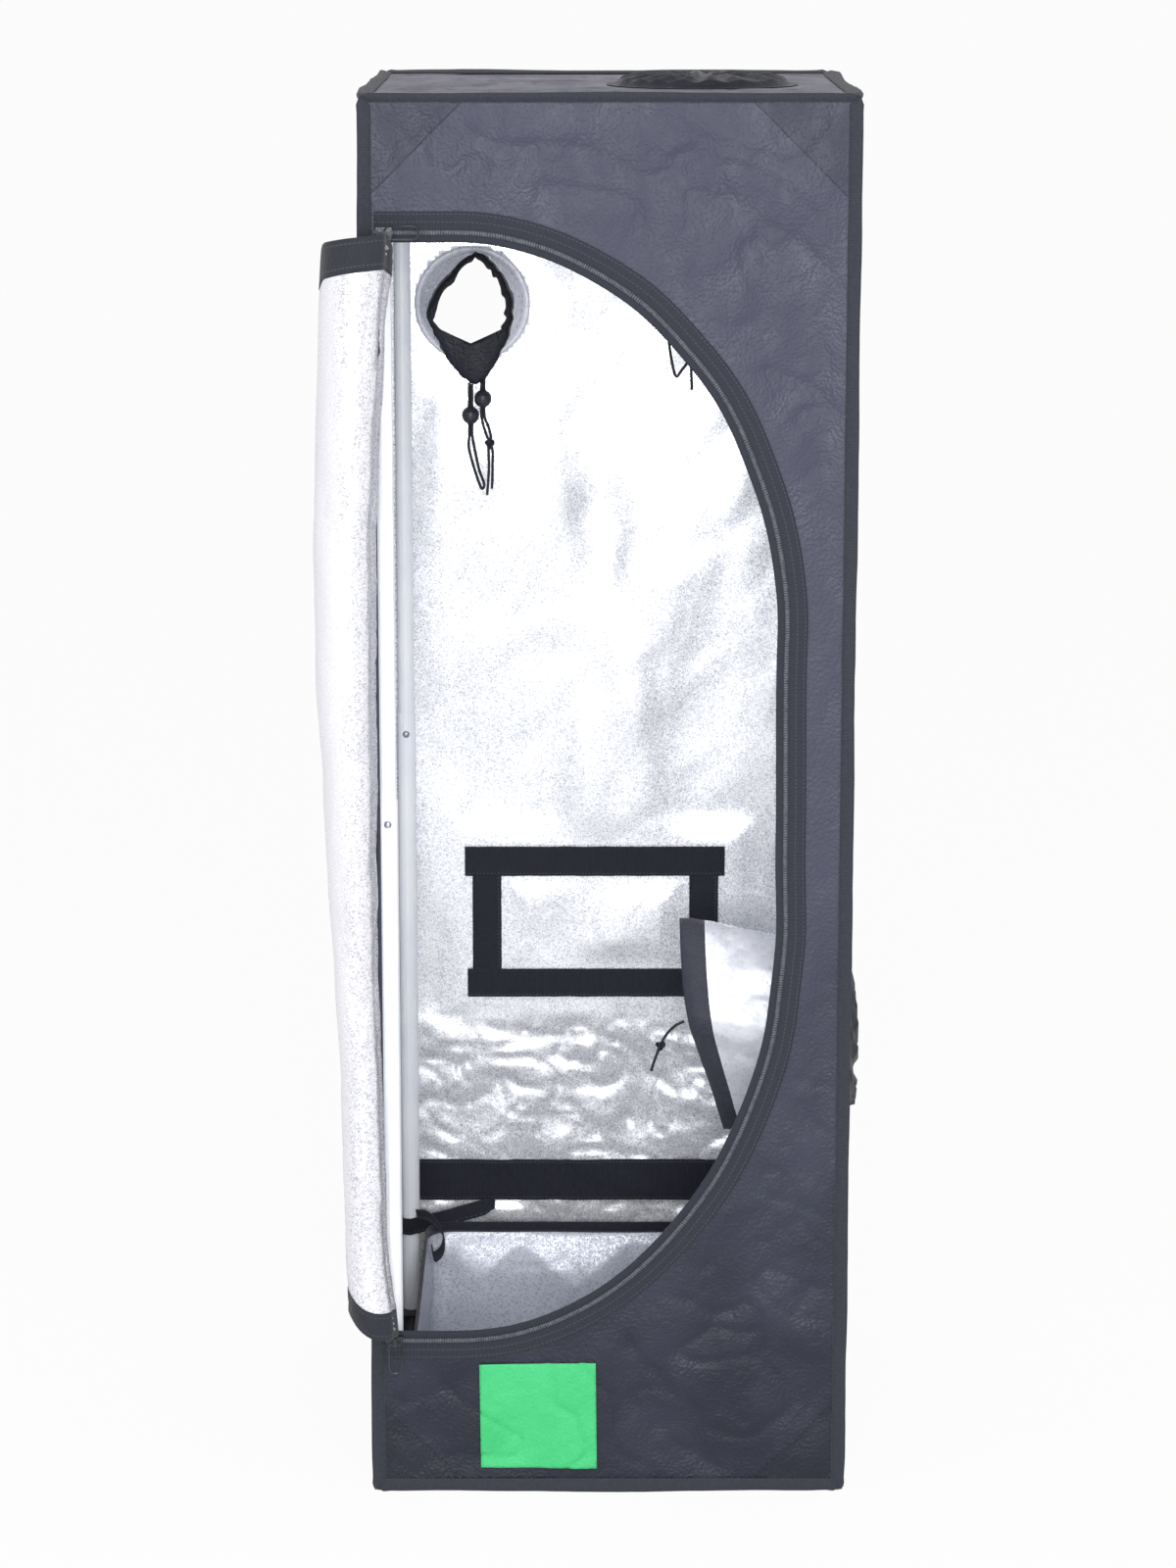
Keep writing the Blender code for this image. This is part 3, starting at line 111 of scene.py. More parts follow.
def start_material(name, colour, roughness, metallic=0.0, **values):
    """A material with a Principled shader and plain values on its sockets."""
    made = bpy.data.materials.new(name)
    made.use_nodes = True
    shader = made.node_tree.nodes["Principled BSDF"]
    shader.inputs["Base Color"].default_value = linear(colour)
    shader.inputs["Roughness"].default_value = roughness
    shader.inputs["Metallic"].default_value = metallic
    for socket, value in values.items():
        shader.inputs[socket.replace("_", " ")].default_value = value
    return made, shader


def finish_material(made, shader, colour, normal, roughness=None):
    """Link the colour, the relief and the roughness into the shader."""
    for source, socket in ((colour, "Base Color"), (normal, "Normal"), (roughness, "Roughness")):
        if source is not None:
            made.node_tree.links.new(source, shader.inputs[socket])
    return made


def object_place(made):
    """Where a point lies on the object, in metres."""
    return add_node(made, "ShaderNodeTexCoord").outputs["Object"]


def cloth_place(made):
    """Where a point lies on the flat cloth, in metres."""
    return add_node(made, "ShaderNodeUVMap", {"uv_map": "Cloth"}).outputs["UV"]


def parts_of(made, place):
    """The X, Y and Z of a place."""
    return add_node(made, "ShaderNodeSeparateXYZ", None, {"Vector": place}).outputs


def calc(made, operation, *values):
    """What one sum gives."""
    return add_node(made, "ShaderNodeMath", {"operation": operation}, dict(enumerate(values))).outputs["Value"]


def remap(made, value, low=0.0, high=1.0, to_low=0.0, to_high=1.0):
    """A value moved from one range to another."""
    ends = {"From Min": low, "From Max": high, "To Min": to_low, "To Max": to_high}
    return add_node(made, "ShaderNodeMapRange", None, {"Value": value, **ends}).outputs["Result"]


def mix(made, share, first, second, kind="MIX"):
    """A colour mixed from two."""
    settings = {"data_type": "RGBA", "blend_type": kind}
    return add_node(made, "ShaderNodeMix", settings, {0: share, 6: first, 7: second}).outputs[2]


def blots(made, place, span, detail, **more):
    """Soft noise whose blots are this many millimetres wide."""
    values = {"Vector": place, "Scale": 1 / (span * MM), "Detail": detail, **more}
    return add_node(made, "ShaderNodeTexNoise", None, values).outputs["Fac"]


def relief(made, height, strength, depth, **under):
    """A relief this many millimetres deep, which may lie on top of another."""
    values = {"Height": height, "Strength": strength, "Distance": depth * MM, **under}
    return add_node(made, "ShaderNodeBump", None, values).outputs["Normal"]


print("helpers ready")

# %% [markdown]
# The outside is a polyester weave with a thin plastic coating. The coating gives it a leathery grain,
# a dull gloss and fine scuffs that catch the light. The weave itself is half a millimetre, too fine to
# show, so the grain is drawn 2.5 mm wide. The colour varies in broad random patches, and it grows
# lighter with height, which is painted light from above.

# %% Coated polyester cloth
def add_corner_patches(made, colour, height, panel, size=0.084):
    """Darken the corners of a panel, where a patch is sewn behind, and draw the slanting seams."""
    across = parts_of(made, cloth_place(made))
    near_side = calc(made, "PINGPONG", across["X"], panel[0] / 2)
    near_end = calc(made, "PINGPONG", across["Y"], panel[1] / 2)
    wander = blots(made, object_place(made), 25, 2.0)
    away = calc(made, "MULTIPLY_ADD", wander, 3 * MM, calc(made, "ADD", near_side, near_end))
    patch = remap(made, away, size + 1 * MM, size - 1 * MM)
    seam = calc(made, "COMPARE", away, size, 0.9 * MM)
    tint = mix(made, patch, colour, linear("#e9e6e6"), "MULTIPLY")
    line = mix(made, seam, tint, linear("#d6d6dc"), "MULTIPLY")
    step = calc(made, "MULTIPLY_ADD", seam, -1.2, patch)
    return line, calc(made, "MULTIPLY_ADD", step, 0.16, height)


def make_coated_cloth(name, dark, light, painted_top_light=0.0, panel=None):
    """Coated cloth between two colours in broad patches, with light from above painted in as a lightening with
    height, with grain, scuffs and shallow creases.
    """
    sheen = {"Sheen_Weight": 0.03, "Sheen_Roughness": 0.45}
    made, shader = start_material(name, dark, 0.5, Specular_IOR_Level=0.26, **sheen)
    where = object_place(made)
    cells = {"Vector": where, "Scale": 1 / (2.5 * MM)}
    grain = add_node(made, "ShaderNodeTexVoronoi", {"feature": "SMOOTH_F1"}, cells).outputs["Distance"]
    mottle = blots(made, where, 70, 5.0)
    turned = {"Vector": where, "Rotation": (0.0, radians(35), 0.0), "Scale": (1.0, 1.0, 0.6)}
    slant = add_node(made, "ShaderNodeMapping", None, turned).outputs["Vector"]
    crease = blots(made, slant, 26, 5.0, Distortion=0.5)
    # Painted light: the colour grows lighter with height, as if lit from above, added to the random mottle.
    painted_top_light_and_mottle = calc(made, "MULTIPLY_ADD", parts_of(made, where)["Z"], painted_top_light, mottle)
    spread = remap(made, painted_top_light_and_mottle, 0.35 + 0.11 * painted_top_light, 0.65 + 0.5 * painted_top_light)
    tint, height = mix(made, spread, linear(dark), linear(light)), crease
    if panel:
        tint, height = add_corner_patches(made, tint, height, panel)
    pebble = relief(made, grain, 0.8, 0.8, Normal=relief(made, height, 0.8, 2.6))
    return finish_material(made, shader, tint, pebble, remap(made, crease, 0.3, 0.7, 0.42, 0.62))


# On this cloth and the walls, light from above is painted in, so they grow lighter towards the top.
coated_cloth = make_coated_cloth("coated polyester cloth", "#212431", "#404252", 1.6)
wall_cloth = make_coated_cloth("coated polyester wall cloth", "#212431", "#404252", 1.6, (0.397, 1.186))
# The roof is the same cloth as the walls in a lighter colour: painted light and sheen from above.
roof_cloth_painted_lighter = make_coated_cloth("coated polyester roof cloth painted lighter", "#5c5b6b", "#777585", 0.0, (0.400, 0.400))
sleeve_cloth = make_coated_cloth("black coated sleeve cloth", "#11131a", "#22242e")
print(coated_cloth.name, wall_cloth.name, roof_cloth_painted_lighter.name)

# %% [markdown]
# The inside of the same cloth is a silver film with a crinkled, hammered surface, made to throw light
# back at the plants. It is nearly a mirror broken into facets about 1.3 mm wide: where it faces the
# light it is white, and in shade it breaks into dark and bright specks. Random facets are painted in a
# darker shade colour, a painted reflection of the dark surroundings.

# %% Crinkled silver film
def make_silver_film(name, colour, shade, roughness, facet, depth, metallic=0.72, painted_lit_side=None):
    """Metallised film whose facets tilt, dull and darken at random, the darkening painted reflection, much
    less on the low X side of a painted lit strip.
    """
    made, shader = start_material(name, colour, roughness, metallic)
    where = object_place(made)
    facets = {"Vector": where, "Scale": 1 / (facet * MM), "Randomness": 1.0}
    cells = add_node(made, "ShaderNodeTexVoronoi", None, facets).outputs["Color"]
    taller = {"Vector": where, "Scale": (1.0, 1.0, 0.45)}
    tall = add_node(made, "ShaderNodeMapping", None, taller).outputs["Vector"]
    waves = blots(made, tall, 80, 3.0, Distortion=0.3)
    chance = add_node(made, "ShaderNodeSeparateColor", None, {"Color": cells}).outputs
    dark, dull, tilt = chance["Red"], chance["Green"], chance["Blue"]
    if painted_lit_side:
        lively = remap(made, parts_of(made, where)["X"], *painted_lit_side, 0.12)
        dark, tilt = (calc(made, "MULTIPLY", part, lively) for part in (dark, tilt))
    # Painted reflection: random facets are painted in the darker shade colour.
    tint = mix(made, remap(made, dark, 0.55, 0.95), linear(colour), linear(shade))
    crinkle = relief(made, tilt, depth, 0.5, Normal=relief(made, waves, 0.5, 2.5))
    rough = remap(made, dull, 0.0, 1.0, roughness - 0.12, roughness + 0.14)
    return finish_material(made, shader, tint, crinkle, rough)


# The rolled door has its own copy of the silver film, in tones set for the light on the roll and raised in
# place of a lamp from the left: painted light. Left of this strip, on the roll's painted lit side, the dark
# specks and the facet tilt fade out.
ROLL_PAINTED_LIT_SIDE = (-0.236, -0.214)
silver_film = make_silver_film("crinkled silver film", "#f6f7fb", "#cdd1da", 0.33, 1.3, 0.62, 0.52)
roll_film_painted_light = make_silver_film(
    "silver film of the rolled door with painted light", "#ebeaf0", "#bcbec7", 0.33, 1.2, 0.55, 0.62, ROLL_PAINTED_LIT_SIDE
)
tray_film = make_silver_film("grey tray film", "#c9ccd6", "#a6aab6", 0.46, 1.3, 0.6, 0.28)
smooth_film = make_silver_film("smooth silver sleeve cloth", "#e9ebf3", "#dfe1ea", 0.36, 3.0, 0.06, 0.30)
print(silver_film.name, tray_film.name, smooth_film.name)

# %% [markdown]
# Tape, webbing and thread are woven, so they have ribs across and rows of stitches along. These
# patterns follow the piece round its bends, so they read its UV map, which is in metres: the first
# number runs along the tape and the second across it.

# %% Woven tape with rows of stitches
STITCH = 3.4 * MM


def make_tape(name, colour, light, rib, rows=(), roughness=0.72):
    """Woven tape with ribs this many millimetres apart, and stitches at these places across it."""
    made, shader = start_material(name, colour, roughness, Specular_IOR_Level=0.35, Sheen_Weight=0.15)
    across = parts_of(made, cloth_place(made))
    along, over = across["X"], across["Y"]
    ribs = calc(made, "SINE", calc(made, "MULTIPLY", along, 2 * pi / (rib * MM)))
    height = calc(made, "MULTIPLY_ADD", ribs, 0.35, blots(made, object_place(made), 3, 3.0))
    tint = mix(made, remap(made, height), linear(colour), linear(light))
    if rows:
        dash = calc(made, "LESS_THAN", calc(made, "FRACT", calc(made, "DIVIDE", along, STITCH)), 0.62)
        near = [calc(made, "COMPARE", over, row * MM, 0.45 * MM) for row in rows]
        total = calc(made, "MAXIMUM", *near) if len(near) > 1 else near[0]
        stitch = calc(made, "MULTIPLY", total, dash)
        tint = mix(made, stitch, tint, linear("#3b3e49"))
        height = calc(made, "MULTIPLY_ADD", stitch, 1.6, height)
    return finish_material(made, shader, tint, relief(made, height, 0.6, 0.4))


binding_tape = make_tape("woven binding tape", "#1f212b", "#31343f", 1.2, (2.0, 26.0))
zip_cloth = make_tape("woven zip tape", "#181b25", "#292d3a", 1.2, (16.5, 23.0))
door_tape = make_tape("door edge tape", "#191b23", "#282b35", 1.2, (4.0, 20.0))
black_webbing = make_tape("black webbing", "#13151f", "#1f222d", 1.6, (2.5, 37.5), 0.85)
hem_tape = make_tape("gathered hem cloth", "#242632", "#3a3c4a", 1.4, (2.0,), 0.55)
print(binding_tape.name, zip_cloth.name, black_webbing.name)

# %% [markdown]
# The hard finishes. The tubes are steel with a pale powder coat, which has a faint orange peel. The
# hubs, bar ends and cord locks are moulded nylon, dark and slightly grained. The sliders are zinc with
# black enamel that has worn a little at its edges, and the snap buttons are bare steel.

# %% Hard finishes
def make_hard(name, colour, light, roughness, metallic, grain, depth, coat=0.0):
    """A hard finish with a fine uneven surface and a slight change of colour."""
    made, shader = start_material(name, colour, roughness, metallic, Coat_Weight=coat)
    where = object_place(made)
    broad, fine = blots(made, where, 40, 4.0), blots(made, where, grain, 2.0)
    tint = mix(made, remap(made, broad, 0.35, 0.65), linear(colour), linear(light))
    rough = remap(made, fine, 0.0, 1.0, roughness - 0.06, roughness + 0.08)
    return finish_material(made, shader, tint, relief(made, fine, depth, 0.2), rough)


powder_coat = make_hard("pale powder coat", "#f2f6fd", "#fafcff", 0.34, 0.0, 1.6, 0.25, 0.2)
nylon_moulding = make_hard("moulded nylon", "#22242c", "#2c2f38", 0.48, 0.0, 0.8, 0.35)
black_enamel = make_hard("black enamel on zinc", "#1b1c21", "#34363d", 0.30, 0.35, 2.0, 0.20, 0.4)
bare_steel = make_hard("bare spring steel", "#b9bcc2", "#d0d2d8", 0.28, 1.0, 1.2, 0.15)
# The coil is dark nylon; the light stripe on each hook, 2.1 mm apart, is a painted glint.
nylon_coil_painted_glints = make_tape("nylon zip coil with painted glints", "#101218", "#646874", 2.1, (), 0.55)
print(powder_coat.name, nylon_moulding.name, black_enamel.name)

# %% [markdown]
# Drawstring is a round braid 2.6 mm thick, whose plait shows as short slanting bumps. The net's
# threads are drawn 2 mm apart.

# %% Braided cord, net and the plain patch
def make_cord_finish():
    """Braided black cord."""
    made, shader = start_material("braided polyester cord", "#14151c", 0.75)
    waves = {"Vector": object_place(made), "Scale": 1 / (3.2 * MM), "Distortion": 1.5, "Detail": 1.0}
    plait = add_node(made, "ShaderNodeTexWave", {"bands_direction": "DIAGONAL"}, waves).outputs["Fac"]
    tint = mix(made, plait, linear("#0f1016"), linear("#23252e"))
    return finish_material(made, shader, tint, relief(made, plait, 0.5, 0.3))


def make_net_finish():
    """Fine black net."""
    made, shader = start_material("fine polyester net", "#17181c", 0.7)
    sizes = {"Scale": 1.0, "Mortar Size": 0.35 * MM, "Brick Width": 2.0 * MM, "Row Height": 2.0 * MM}
    colours = {"Color1": linear("#0b0b0e"), "Color2": linear("#0e0e12"), "Mortar": linear("#34363d")}
    values = {"Vector": cloth_place(made), **sizes, **colours}
    threads = add_node(made, "ShaderNodeTexBrick", {"offset": 0.0}, values).outputs
    return finish_material(made, shader, threads["Color"], relief(made, threads["Fac"], 0.7, 0.4))


braided_cord = make_cord_finish()
fine_net = make_net_finish()
green_vinyl = make_coated_cloth("plain green woven patch", "#41bd74", "#4bc680")
print(braided_cord.name, fine_net.name, green_vinyl.name)

# %% [markdown]
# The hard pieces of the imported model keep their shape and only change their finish. Each object has a
# material slot already, and the new material goes into it.

# %% Finish the hard pieces
HARD_PIECES = [
    (nylon_moulding, ("base_side", "top_side", "cord_lock")),
    (powder_coat, ("base_rail", "top_rail", "lower_pole", "upper_pole", "hanging_bar")),
    (bare_steel, ("snap_button",)),
    (black_enamel, ("upper_slider", "upper_pull", "lower_slider", "lower_pull")),
]
finished = 0
for name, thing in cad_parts.items():
    for finish, starts in HARD_PIECES:
        if name.startswith(starts):
            for slot in thing.material_slots:
                slot.material = finish
            finished += 1
print("hard pieces finished:", finished)

# %% [markdown]
# A drawstring is a real length of cord, so each is one smooth curve through the same points as in the
# part. The points are given from the middle of the port that the cord belongs to: across it, outward
# from it into the tent, and up. A curve between four neighbouring points passes smoothly through all.

# %% Ports and smooth curves
X, Y, Z = Vector((1, 0, 0)), Vector((0, 1, 0)), Vector((0, 0, 1))
PORTS = {
    "back": (Vector((-0.122, 0.1988, 0.984)), X, -Y, Z, 0.050),
    "side": (Vector((0.1988, -0.015, 0.365)), Y, -X, Z, 0.075),
    "roof": (Vector((0.080, 0, 1.1888)), X, -Z, Y, 0.075),
}


def at_port(port, across, outward, up):
    """The place at these distances from the middle of a port."""
    centre, side, out, rise, _ = PORTS[port]
    return centre + side * across + out * outward + rise * up


def curve_points(points, steps):
    """Points of the smooth curve from the second of the given ones to the last but one."""
    found = []
    for p0, p1, p2, p3 in zip(points, points[1:], points[2:], points[3:]):
        for k in range(steps):
            t = k / steps
            bend = (p1 * 3 - p0 - p2 * 3 + p3) * t**3 + (p0 * 2 - p1 * 5 + p2 * 4 - p3) * t * t
            found.append((p1 * 2 + (p2 - p0) * t + bend) / 2)
    return found


def smooth_through(points, steps):
    """Points of the smooth curve through the given ones, this many for each stretch."""
    ends = [points[0] * 2 - points[1], *points, points[-1] * 2 - points[-2]]
    return curve_points(ends, steps) + [points[-1]]


print("ports:", sorted(PORTS))

# %% Cord routes
OUT = 0.0585
CORD_ROUTES = {
    "back_cord_a": ("back", "object", [
        (-0.0018, OUT, -0.0644), (-0.0018, OUT, -0.0820), (-0.0018, OUT, -0.0980), (-0.0018, OUT, -0.1120),
        (-0.0024, OUT, -0.1230), (0.0018, OUT, -0.1400), (0.0070, OUT, -0.1560), (0.0094, OUT, -0.1606),
        (0.0113, OUT, -0.1562), (0.0070, OUT, -0.1440), (0.0038, OUT, -0.1290), (0.0008, OUT, -0.1120),
        (0.0008, OUT, -0.0980), (0.0008, OUT, -0.0820), (0.0008, OUT, -0.0658),
    ]),
    "back_cord_b": ("back", "object", [
        (0.0093, OUT, -0.0636), (0.0093, OUT, -0.0810), (0.0093, OUT, -0.0950), (0.0114, OUT, -0.1050),
        (0.0140, OUT, -0.1130), (0.0162, OUT, -0.1168), (0.0176, OUT, -0.1130), (0.0152, OUT, -0.1040),
        (0.0119, OUT, -0.0950), (0.0119, OUT, -0.0810), (0.0119, OUT, -0.0614),
    ]),
    "back_cord_tails": ("back", "bare", [
        (0.0139, OUT, -0.1665), (0.0150, OUT, -0.1530), (0.0157, OUT, -0.1400), (0.0154, OUT, -0.1270),
        (0.0165, OUT, -0.1193), (0.0191, OUT, -0.1270), (0.0189, OUT, -0.1400), (0.0187, OUT, -0.1520),
        (0.0182, OUT, -0.1605),
    ]),
    "side_cord": ("side", "bare", [
        (-0.0412, 0.1318, 0.0150), (-0.0400, 0.1400, 0.0100), (-0.0380, 0.1476, 0.0010),
        (-0.0370, 0.1530, -0.0100), (-0.0362, 0.1580, -0.0240), (-0.0360, 0.1602, -0.0320),
    ]),
    "roof_cord_loop": ("roof", "object", [
        (-0.0395, 0.1123, 0), (-0.0340, 0.1500, 0), (-0.0293, 0.2015, 0), (-0.0258, 0.2290, 0),
        (-0.0215, 0.2468, 0), (-0.0165, 0.2420, 0), (-0.0110, 0.2340, 0), (-0.0073, 0.2219, 0),
        (-0.0020, 0.1950, 0), (0.0060, 0.1500, 0), (0.0110, 0.1123, 0),
    ]),
    "roof_cord_end": ("roof", "bare", [
        (0.0045, 0.1123, -0.0158), (0.0005, 0.1500, -0.0180), (-0.0055, 0.2000, -0.0190),
        (-0.0085, 0.2329, -0.0190), (-0.0080, 0.2566, -0.0190),
    ]),
}
KNOTS = {"back_cord_tails": (0.0165, OUT, -0.1200), "side_cord": (-0.0372, 0.1522, -0.0085)}
print("cords:", len(CORD_ROUTES), "knots:", len(KNOTS))

# %% Make the cords and their knots
CORD_THICKNESS, KNOT_SIZE = 0.0026, 0.0036


def add_cord_curve(name, line, closed=False):
    """A round cord along a line."""
    data = bpy.data.curves.new(name, "CURVE")
    data.dimensions = "3D"
    data.bevel_depth = CORD_THICKNESS / 2
    data.bevel_resolution = 3
    data.use_fill_caps = not closed
    spline = data.splines.new("POLY")
    spline.points.add(len(line) - 1)
    spline.use_cyclic_u = closed
    for spot, point in zip(spline.points, line):
        spot.co = (*point, 1)
    data.materials.append(braided_cord)
    cord = bpy.data.objects.new(name, data)
    bpy.context.scene.collection.objects.link(cord)
    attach(cord, "tent")
    return cord


def add_knot(name, middle):
    """A thumb knot, drawn as a small three-leaved loop."""
    turns = [2 * pi * k / 60 for k in range(60)]
    leaves = [Vector((sin(t) + 2 * sin(2 * t), 1.3 * -sin(3 * t), cos(t) - 2 * cos(2 * t))) for t in turns]
    return add_cord_curve(name, [middle + leaf * KNOT_SIZE / 3 for leaf in leaves], closed=True)


for name, (port, end, route) in CORD_ROUTES.items():
    line = smooth_through([at_port(port, *spot) for spot in route], 8)
    cord = add_cord_curve(name + "_braid", line)
    knots = [add_knot(name + "_knot", at_port(port, *KNOTS[name]))] if name in KNOTS else []
    length = sum((b - a).length for a, b in zip(line, line[1:]))
    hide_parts(name)
    tuple(line[0])
    print(name, round(length, 4), "m")

# %% [markdown]
# Nearly every piece here is a sheet of cloth, so one helper makes them all. It starts from a flat grid
# and moves each of its points to where that point of the cloth lies. The grid's two shares, from 0
# to 1, say which point it is. The helper also stores a UV map in metres for the woven patterns.

# %% A sheet of cloth from a bent grid
def lay_grid(made, cells, size, place, material=0):
    """Add a grid to a mesh in the making, and move its points by place(share along, share across)."""
    layer = made.loops.layers.uv.get("Cloth") or made.loops.layers.uv.new("Cloth")
    verts = bmesh.ops.create_grid(made, x_segments=cells[0], y_segments=cells[1], size=0.5)["verts"]
    faces = {face for vert in verts for face in vert.link_faces}
    for face in faces:
        middle = face.calc_center_median()
        face.material_index = material(middle.x + 0.5, middle.y + 0.5) if callable(material) else material
        face.smooth = True
        for loop in face.loops:
            loop[layer].uv = ((loop.vert.co.x + 0.5) * size[0], (loop.vert.co.y + 0.5) * size[1])
    for vert in verts:
        vert.co = place(vert.co.x + 0.5, vert.co.y + 0.5)


def weld(made, solid=False):
    """Join points that lie on each other, and turn the faces of a closed piece outward."""
    bmesh.ops.remove_doubles(made, verts=made.verts, dist=0.00001)
    if solid:
        bmesh.ops.recalc_face_normals(made, faces=made.faces[:])


def add_piece(name, made, materials, body, nodes=(), thickness=None, offset=-1.0, inside=0, close=True):
    """Turn the mesh into a piece of the part that rides on a body and stands for its solids."""
    if close:
        weld(made)
    mesh = bpy.data.meshes.new(name)
    made.to_mesh(mesh)
    made.free()
    thing = bpy.data.objects.new(name, mesh)
    for material in materials:
        mesh.materials.append(material)
    bpy.context.scene.collection.objects.link(thing)
    if thickness:
        wall = thing.modifiers.new("thickness", "SOLIDIFY")
        wall.thickness = thickness
        wall.offset = offset
        wall.use_even_offset = False
        wall.material_offset = inside
    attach(thing, body)
    if nodes:
        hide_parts(*nodes)
    print(name, len(mesh.polygons), "faces")
    return thing


def lay_piece(name, cells, size, place, *rest, **more):
    """A piece that is one bent grid."""
    made = bmesh.new()
    lay_grid(made, cells, size, place)
    return add_piece(name, made, *rest, **more)


def face_out(made):
    """Turn a tube's faces so that they look away from its middle."""
    centre = sum((face.calc_center_median() for face in made.faces), Vector()) / len(made.faces)
    made.normal_update()
    look = sum((face.calc_center_median() - centre).dot(face.normal) * face.calc_area() for face in made.faces)
    if look < 0:
        bmesh.ops.reverse_faces(made, faces=made.faces[:])


# %% [markdown]
# Cloth that is held by its edges is never quite flat. It has long soft swells with a few sharper
# creases between them, and it lies flat where it is sewn to something. A noise with a wandering
# start gives the swells, and its steepest valleys give the creases. The seed fixes the wandering, so
# that every run folds the cloth in the same way.

# %% Soft swells and creases
FOLD_SEED = 11
noise.seed_set(FOLD_SEED)


def swell(a, b, seed, span, stretch=1.0, crease=0.55):
    """Height, about -1 to 1, of soft folds this far apart at a place on a cloth."""
    spot = Vector((a / span, b / (span * stretch), seed))
    wander = noise.noise_vector(spot * 0.7) * 0.8
    soft = noise.noise(spot + wander)
    valley = abs(noise.noise(spot * 1.7 + wander * 1.4 + Vector((5.2, 1.3, 0))))
    return soft - crease * max(0.0, 1 - valley * 7) ** 2


def ripple(a, b, c):
    """Plain noise at a place."""
    return noise.noise(Vector((a, b, c)))


def ease(distance, reach):
    """0 at a seam, growing smoothly to 1 this far from it."""
    share = min(max(distance / reach, 0.0), 1.0)
    return share * share * (3 - 2 * share)


def hump(distance, reach):
    """1 in the middle, falling smoothly to nearly 0 at twice this reach."""
    return exp(-((distance / reach) ** 2))


# %% [markdown]
# The zip runs straight at its two ends and its right side, with an arc above and an arc below.

# %% The line of the zip
ARC_STEPS, END_STEPS, UPRIGHT_STEPS = 60, 12, 30


def zip_points():
    """Points in X and Z along the zip from its upper left end."""
    turns = [pi / 2 * k / ARC_STEPS for k in range(ARC_STEPS + 1)]
    points = [(ZIP_LEFT + (ZIP_MIDDLE - ZIP_LEFT) * k / END_STEPS, ZIP_TOP) for k in range(END_STEPS)]
    points += [(ZIP_MIDDLE + ARC_WIDTH * sin(t), ZIP_TOP - UPPER_ARC + UPPER_ARC * cos(t)) for t in turns]
    points += [(ZIP_RIGHT, UPPER_BEND - 0.25 * k / UPRIGHT_STEPS) for k in range(1, UPRIGHT_STEPS)]
    points += [(ZIP_MIDDLE + ARC_WIDTH * cos(t), ZIP_SILL + LOWER_ARC - LOWER_ARC * sin(t)) for t in turns]
    for k in range(1, END_STEPS + 1):
        points.append((ZIP_MIDDLE + (ZIP_LEFT - ZIP_MIDDLE) * k / END_STEPS, ZIP_SILL))
    return points


ZIP_LINE = zip_points()
zip_steps = [hypot(b[0] - a[0], b[1] - a[1]) for a, b in zip(ZIP_LINE, ZIP_LINE[1:])]
ZIP_LENGTH = sum(zip_steps)
print("zip length", round(ZIP_LENGTH, 3))

# %% Places along the zip
def along_zip(share, offset):
    """The place in X and Z at a share of the zip's length, moved outward by an offset and a slight waver."""
    offset += 0.0017 * ripple(share * 19, 2.5, 0) * ease(min(share, 1 - share) - 0.035, 0.04)
    want = share * ZIP_LENGTH
    k = 0
    while k < len(zip_steps) - 1 and want > zip_steps[k]:
        want -= zip_steps[k]
        k += 1
    t = want / zip_steps[k]
    a, b = ZIP_LINE[k], ZIP_LINE[k + 1]
    before, after = ZIP_LINE[max(k - 1, 0)], ZIP_LINE[min(k + 2, len(ZIP_LINE) - 1)]
    first = Vector((b[0] - before[0], b[1] - before[1]))
    second = Vector((after[0] - a[0], after[1] - a[1]))
    heading = first.normalized().lerp(second.normalized(), t).normalized()
    return a[0] + (b[0] - a[0]) * t - heading.y * offset, a[1] + (b[1] - a[1]) * t + heading.x * offset


def door_distance(x, z):
    """How far a place on the front lies outside the zip line. It is negative inside the door."""
    if x <= ZIP_MIDDLE:
        return max(z - ZIP_TOP, ZIP_SILL - z)
    if LOWER_BEND <= z <= UPPER_BEND:
        return x - ZIP_RIGHT
    centre, reach = (UPPER_BEND, UPPER_ARC) if z > UPPER_BEND else (LOWER_BEND, LOWER_ARC)
    a, b = (x - ZIP_MIDDLE) / ARC_WIDTH, (z - centre) / reach
    level = hypot(a, b)
    slope = hypot(a / ARC_WIDTH, b / reach) / max(level, 0.001)
    return (level - 1) / max(slope, 0.001)


print("zip half way:", [round(v, 3) for v in along_zip(0.5, 0)])

# %% [markdown]
# The cover is six panels. Each is a grid bent by the swells, with the outer cloth on one side and the
# silver film on the other. A hole is opened by deleting the cells inside it and drawing the cut edge
# onto its true outline, as scissors would.

# %% Panels and their holes
def cut_hole(made, inside, snap):
    """Delete the faces whose middle is inside, and move the new edge onto the outline."""
    before = {vert for vert in made.verts if vert.is_boundary}
    gone = [face for face in made.faces if inside(face.calc_center_median())]
    bmesh.ops.delete(made, geom=gone, context="FACES")
    edge = [vert for vert in made.verts if vert.is_boundary and vert not in before]
    for vert in edge:
        vert.co = snap(vert.co)
    print("hole edge points:", len(edge))


def beside_port(spot, port):
    """A place measured across and up from the middle of a port."""
    centre, side, _, rise, _ = PORTS[port]
    return Vector(((spot - centre).dot(side), (spot - centre).dot(rise)))


def port_hole(made, port):
    """Cut a port's round hole."""
    _, side, _, rise, radius = PORTS[port]

    def snap(spot):
        flat = beside_port(spot, port)
        wanted = flat.normalized() * radius
        return spot + side * (wanted.x - flat.x) + rise * (wanted.y - flat.y)

    cut_hole(made, lambda spot: beside_port(spot, port).length < radius, snap)


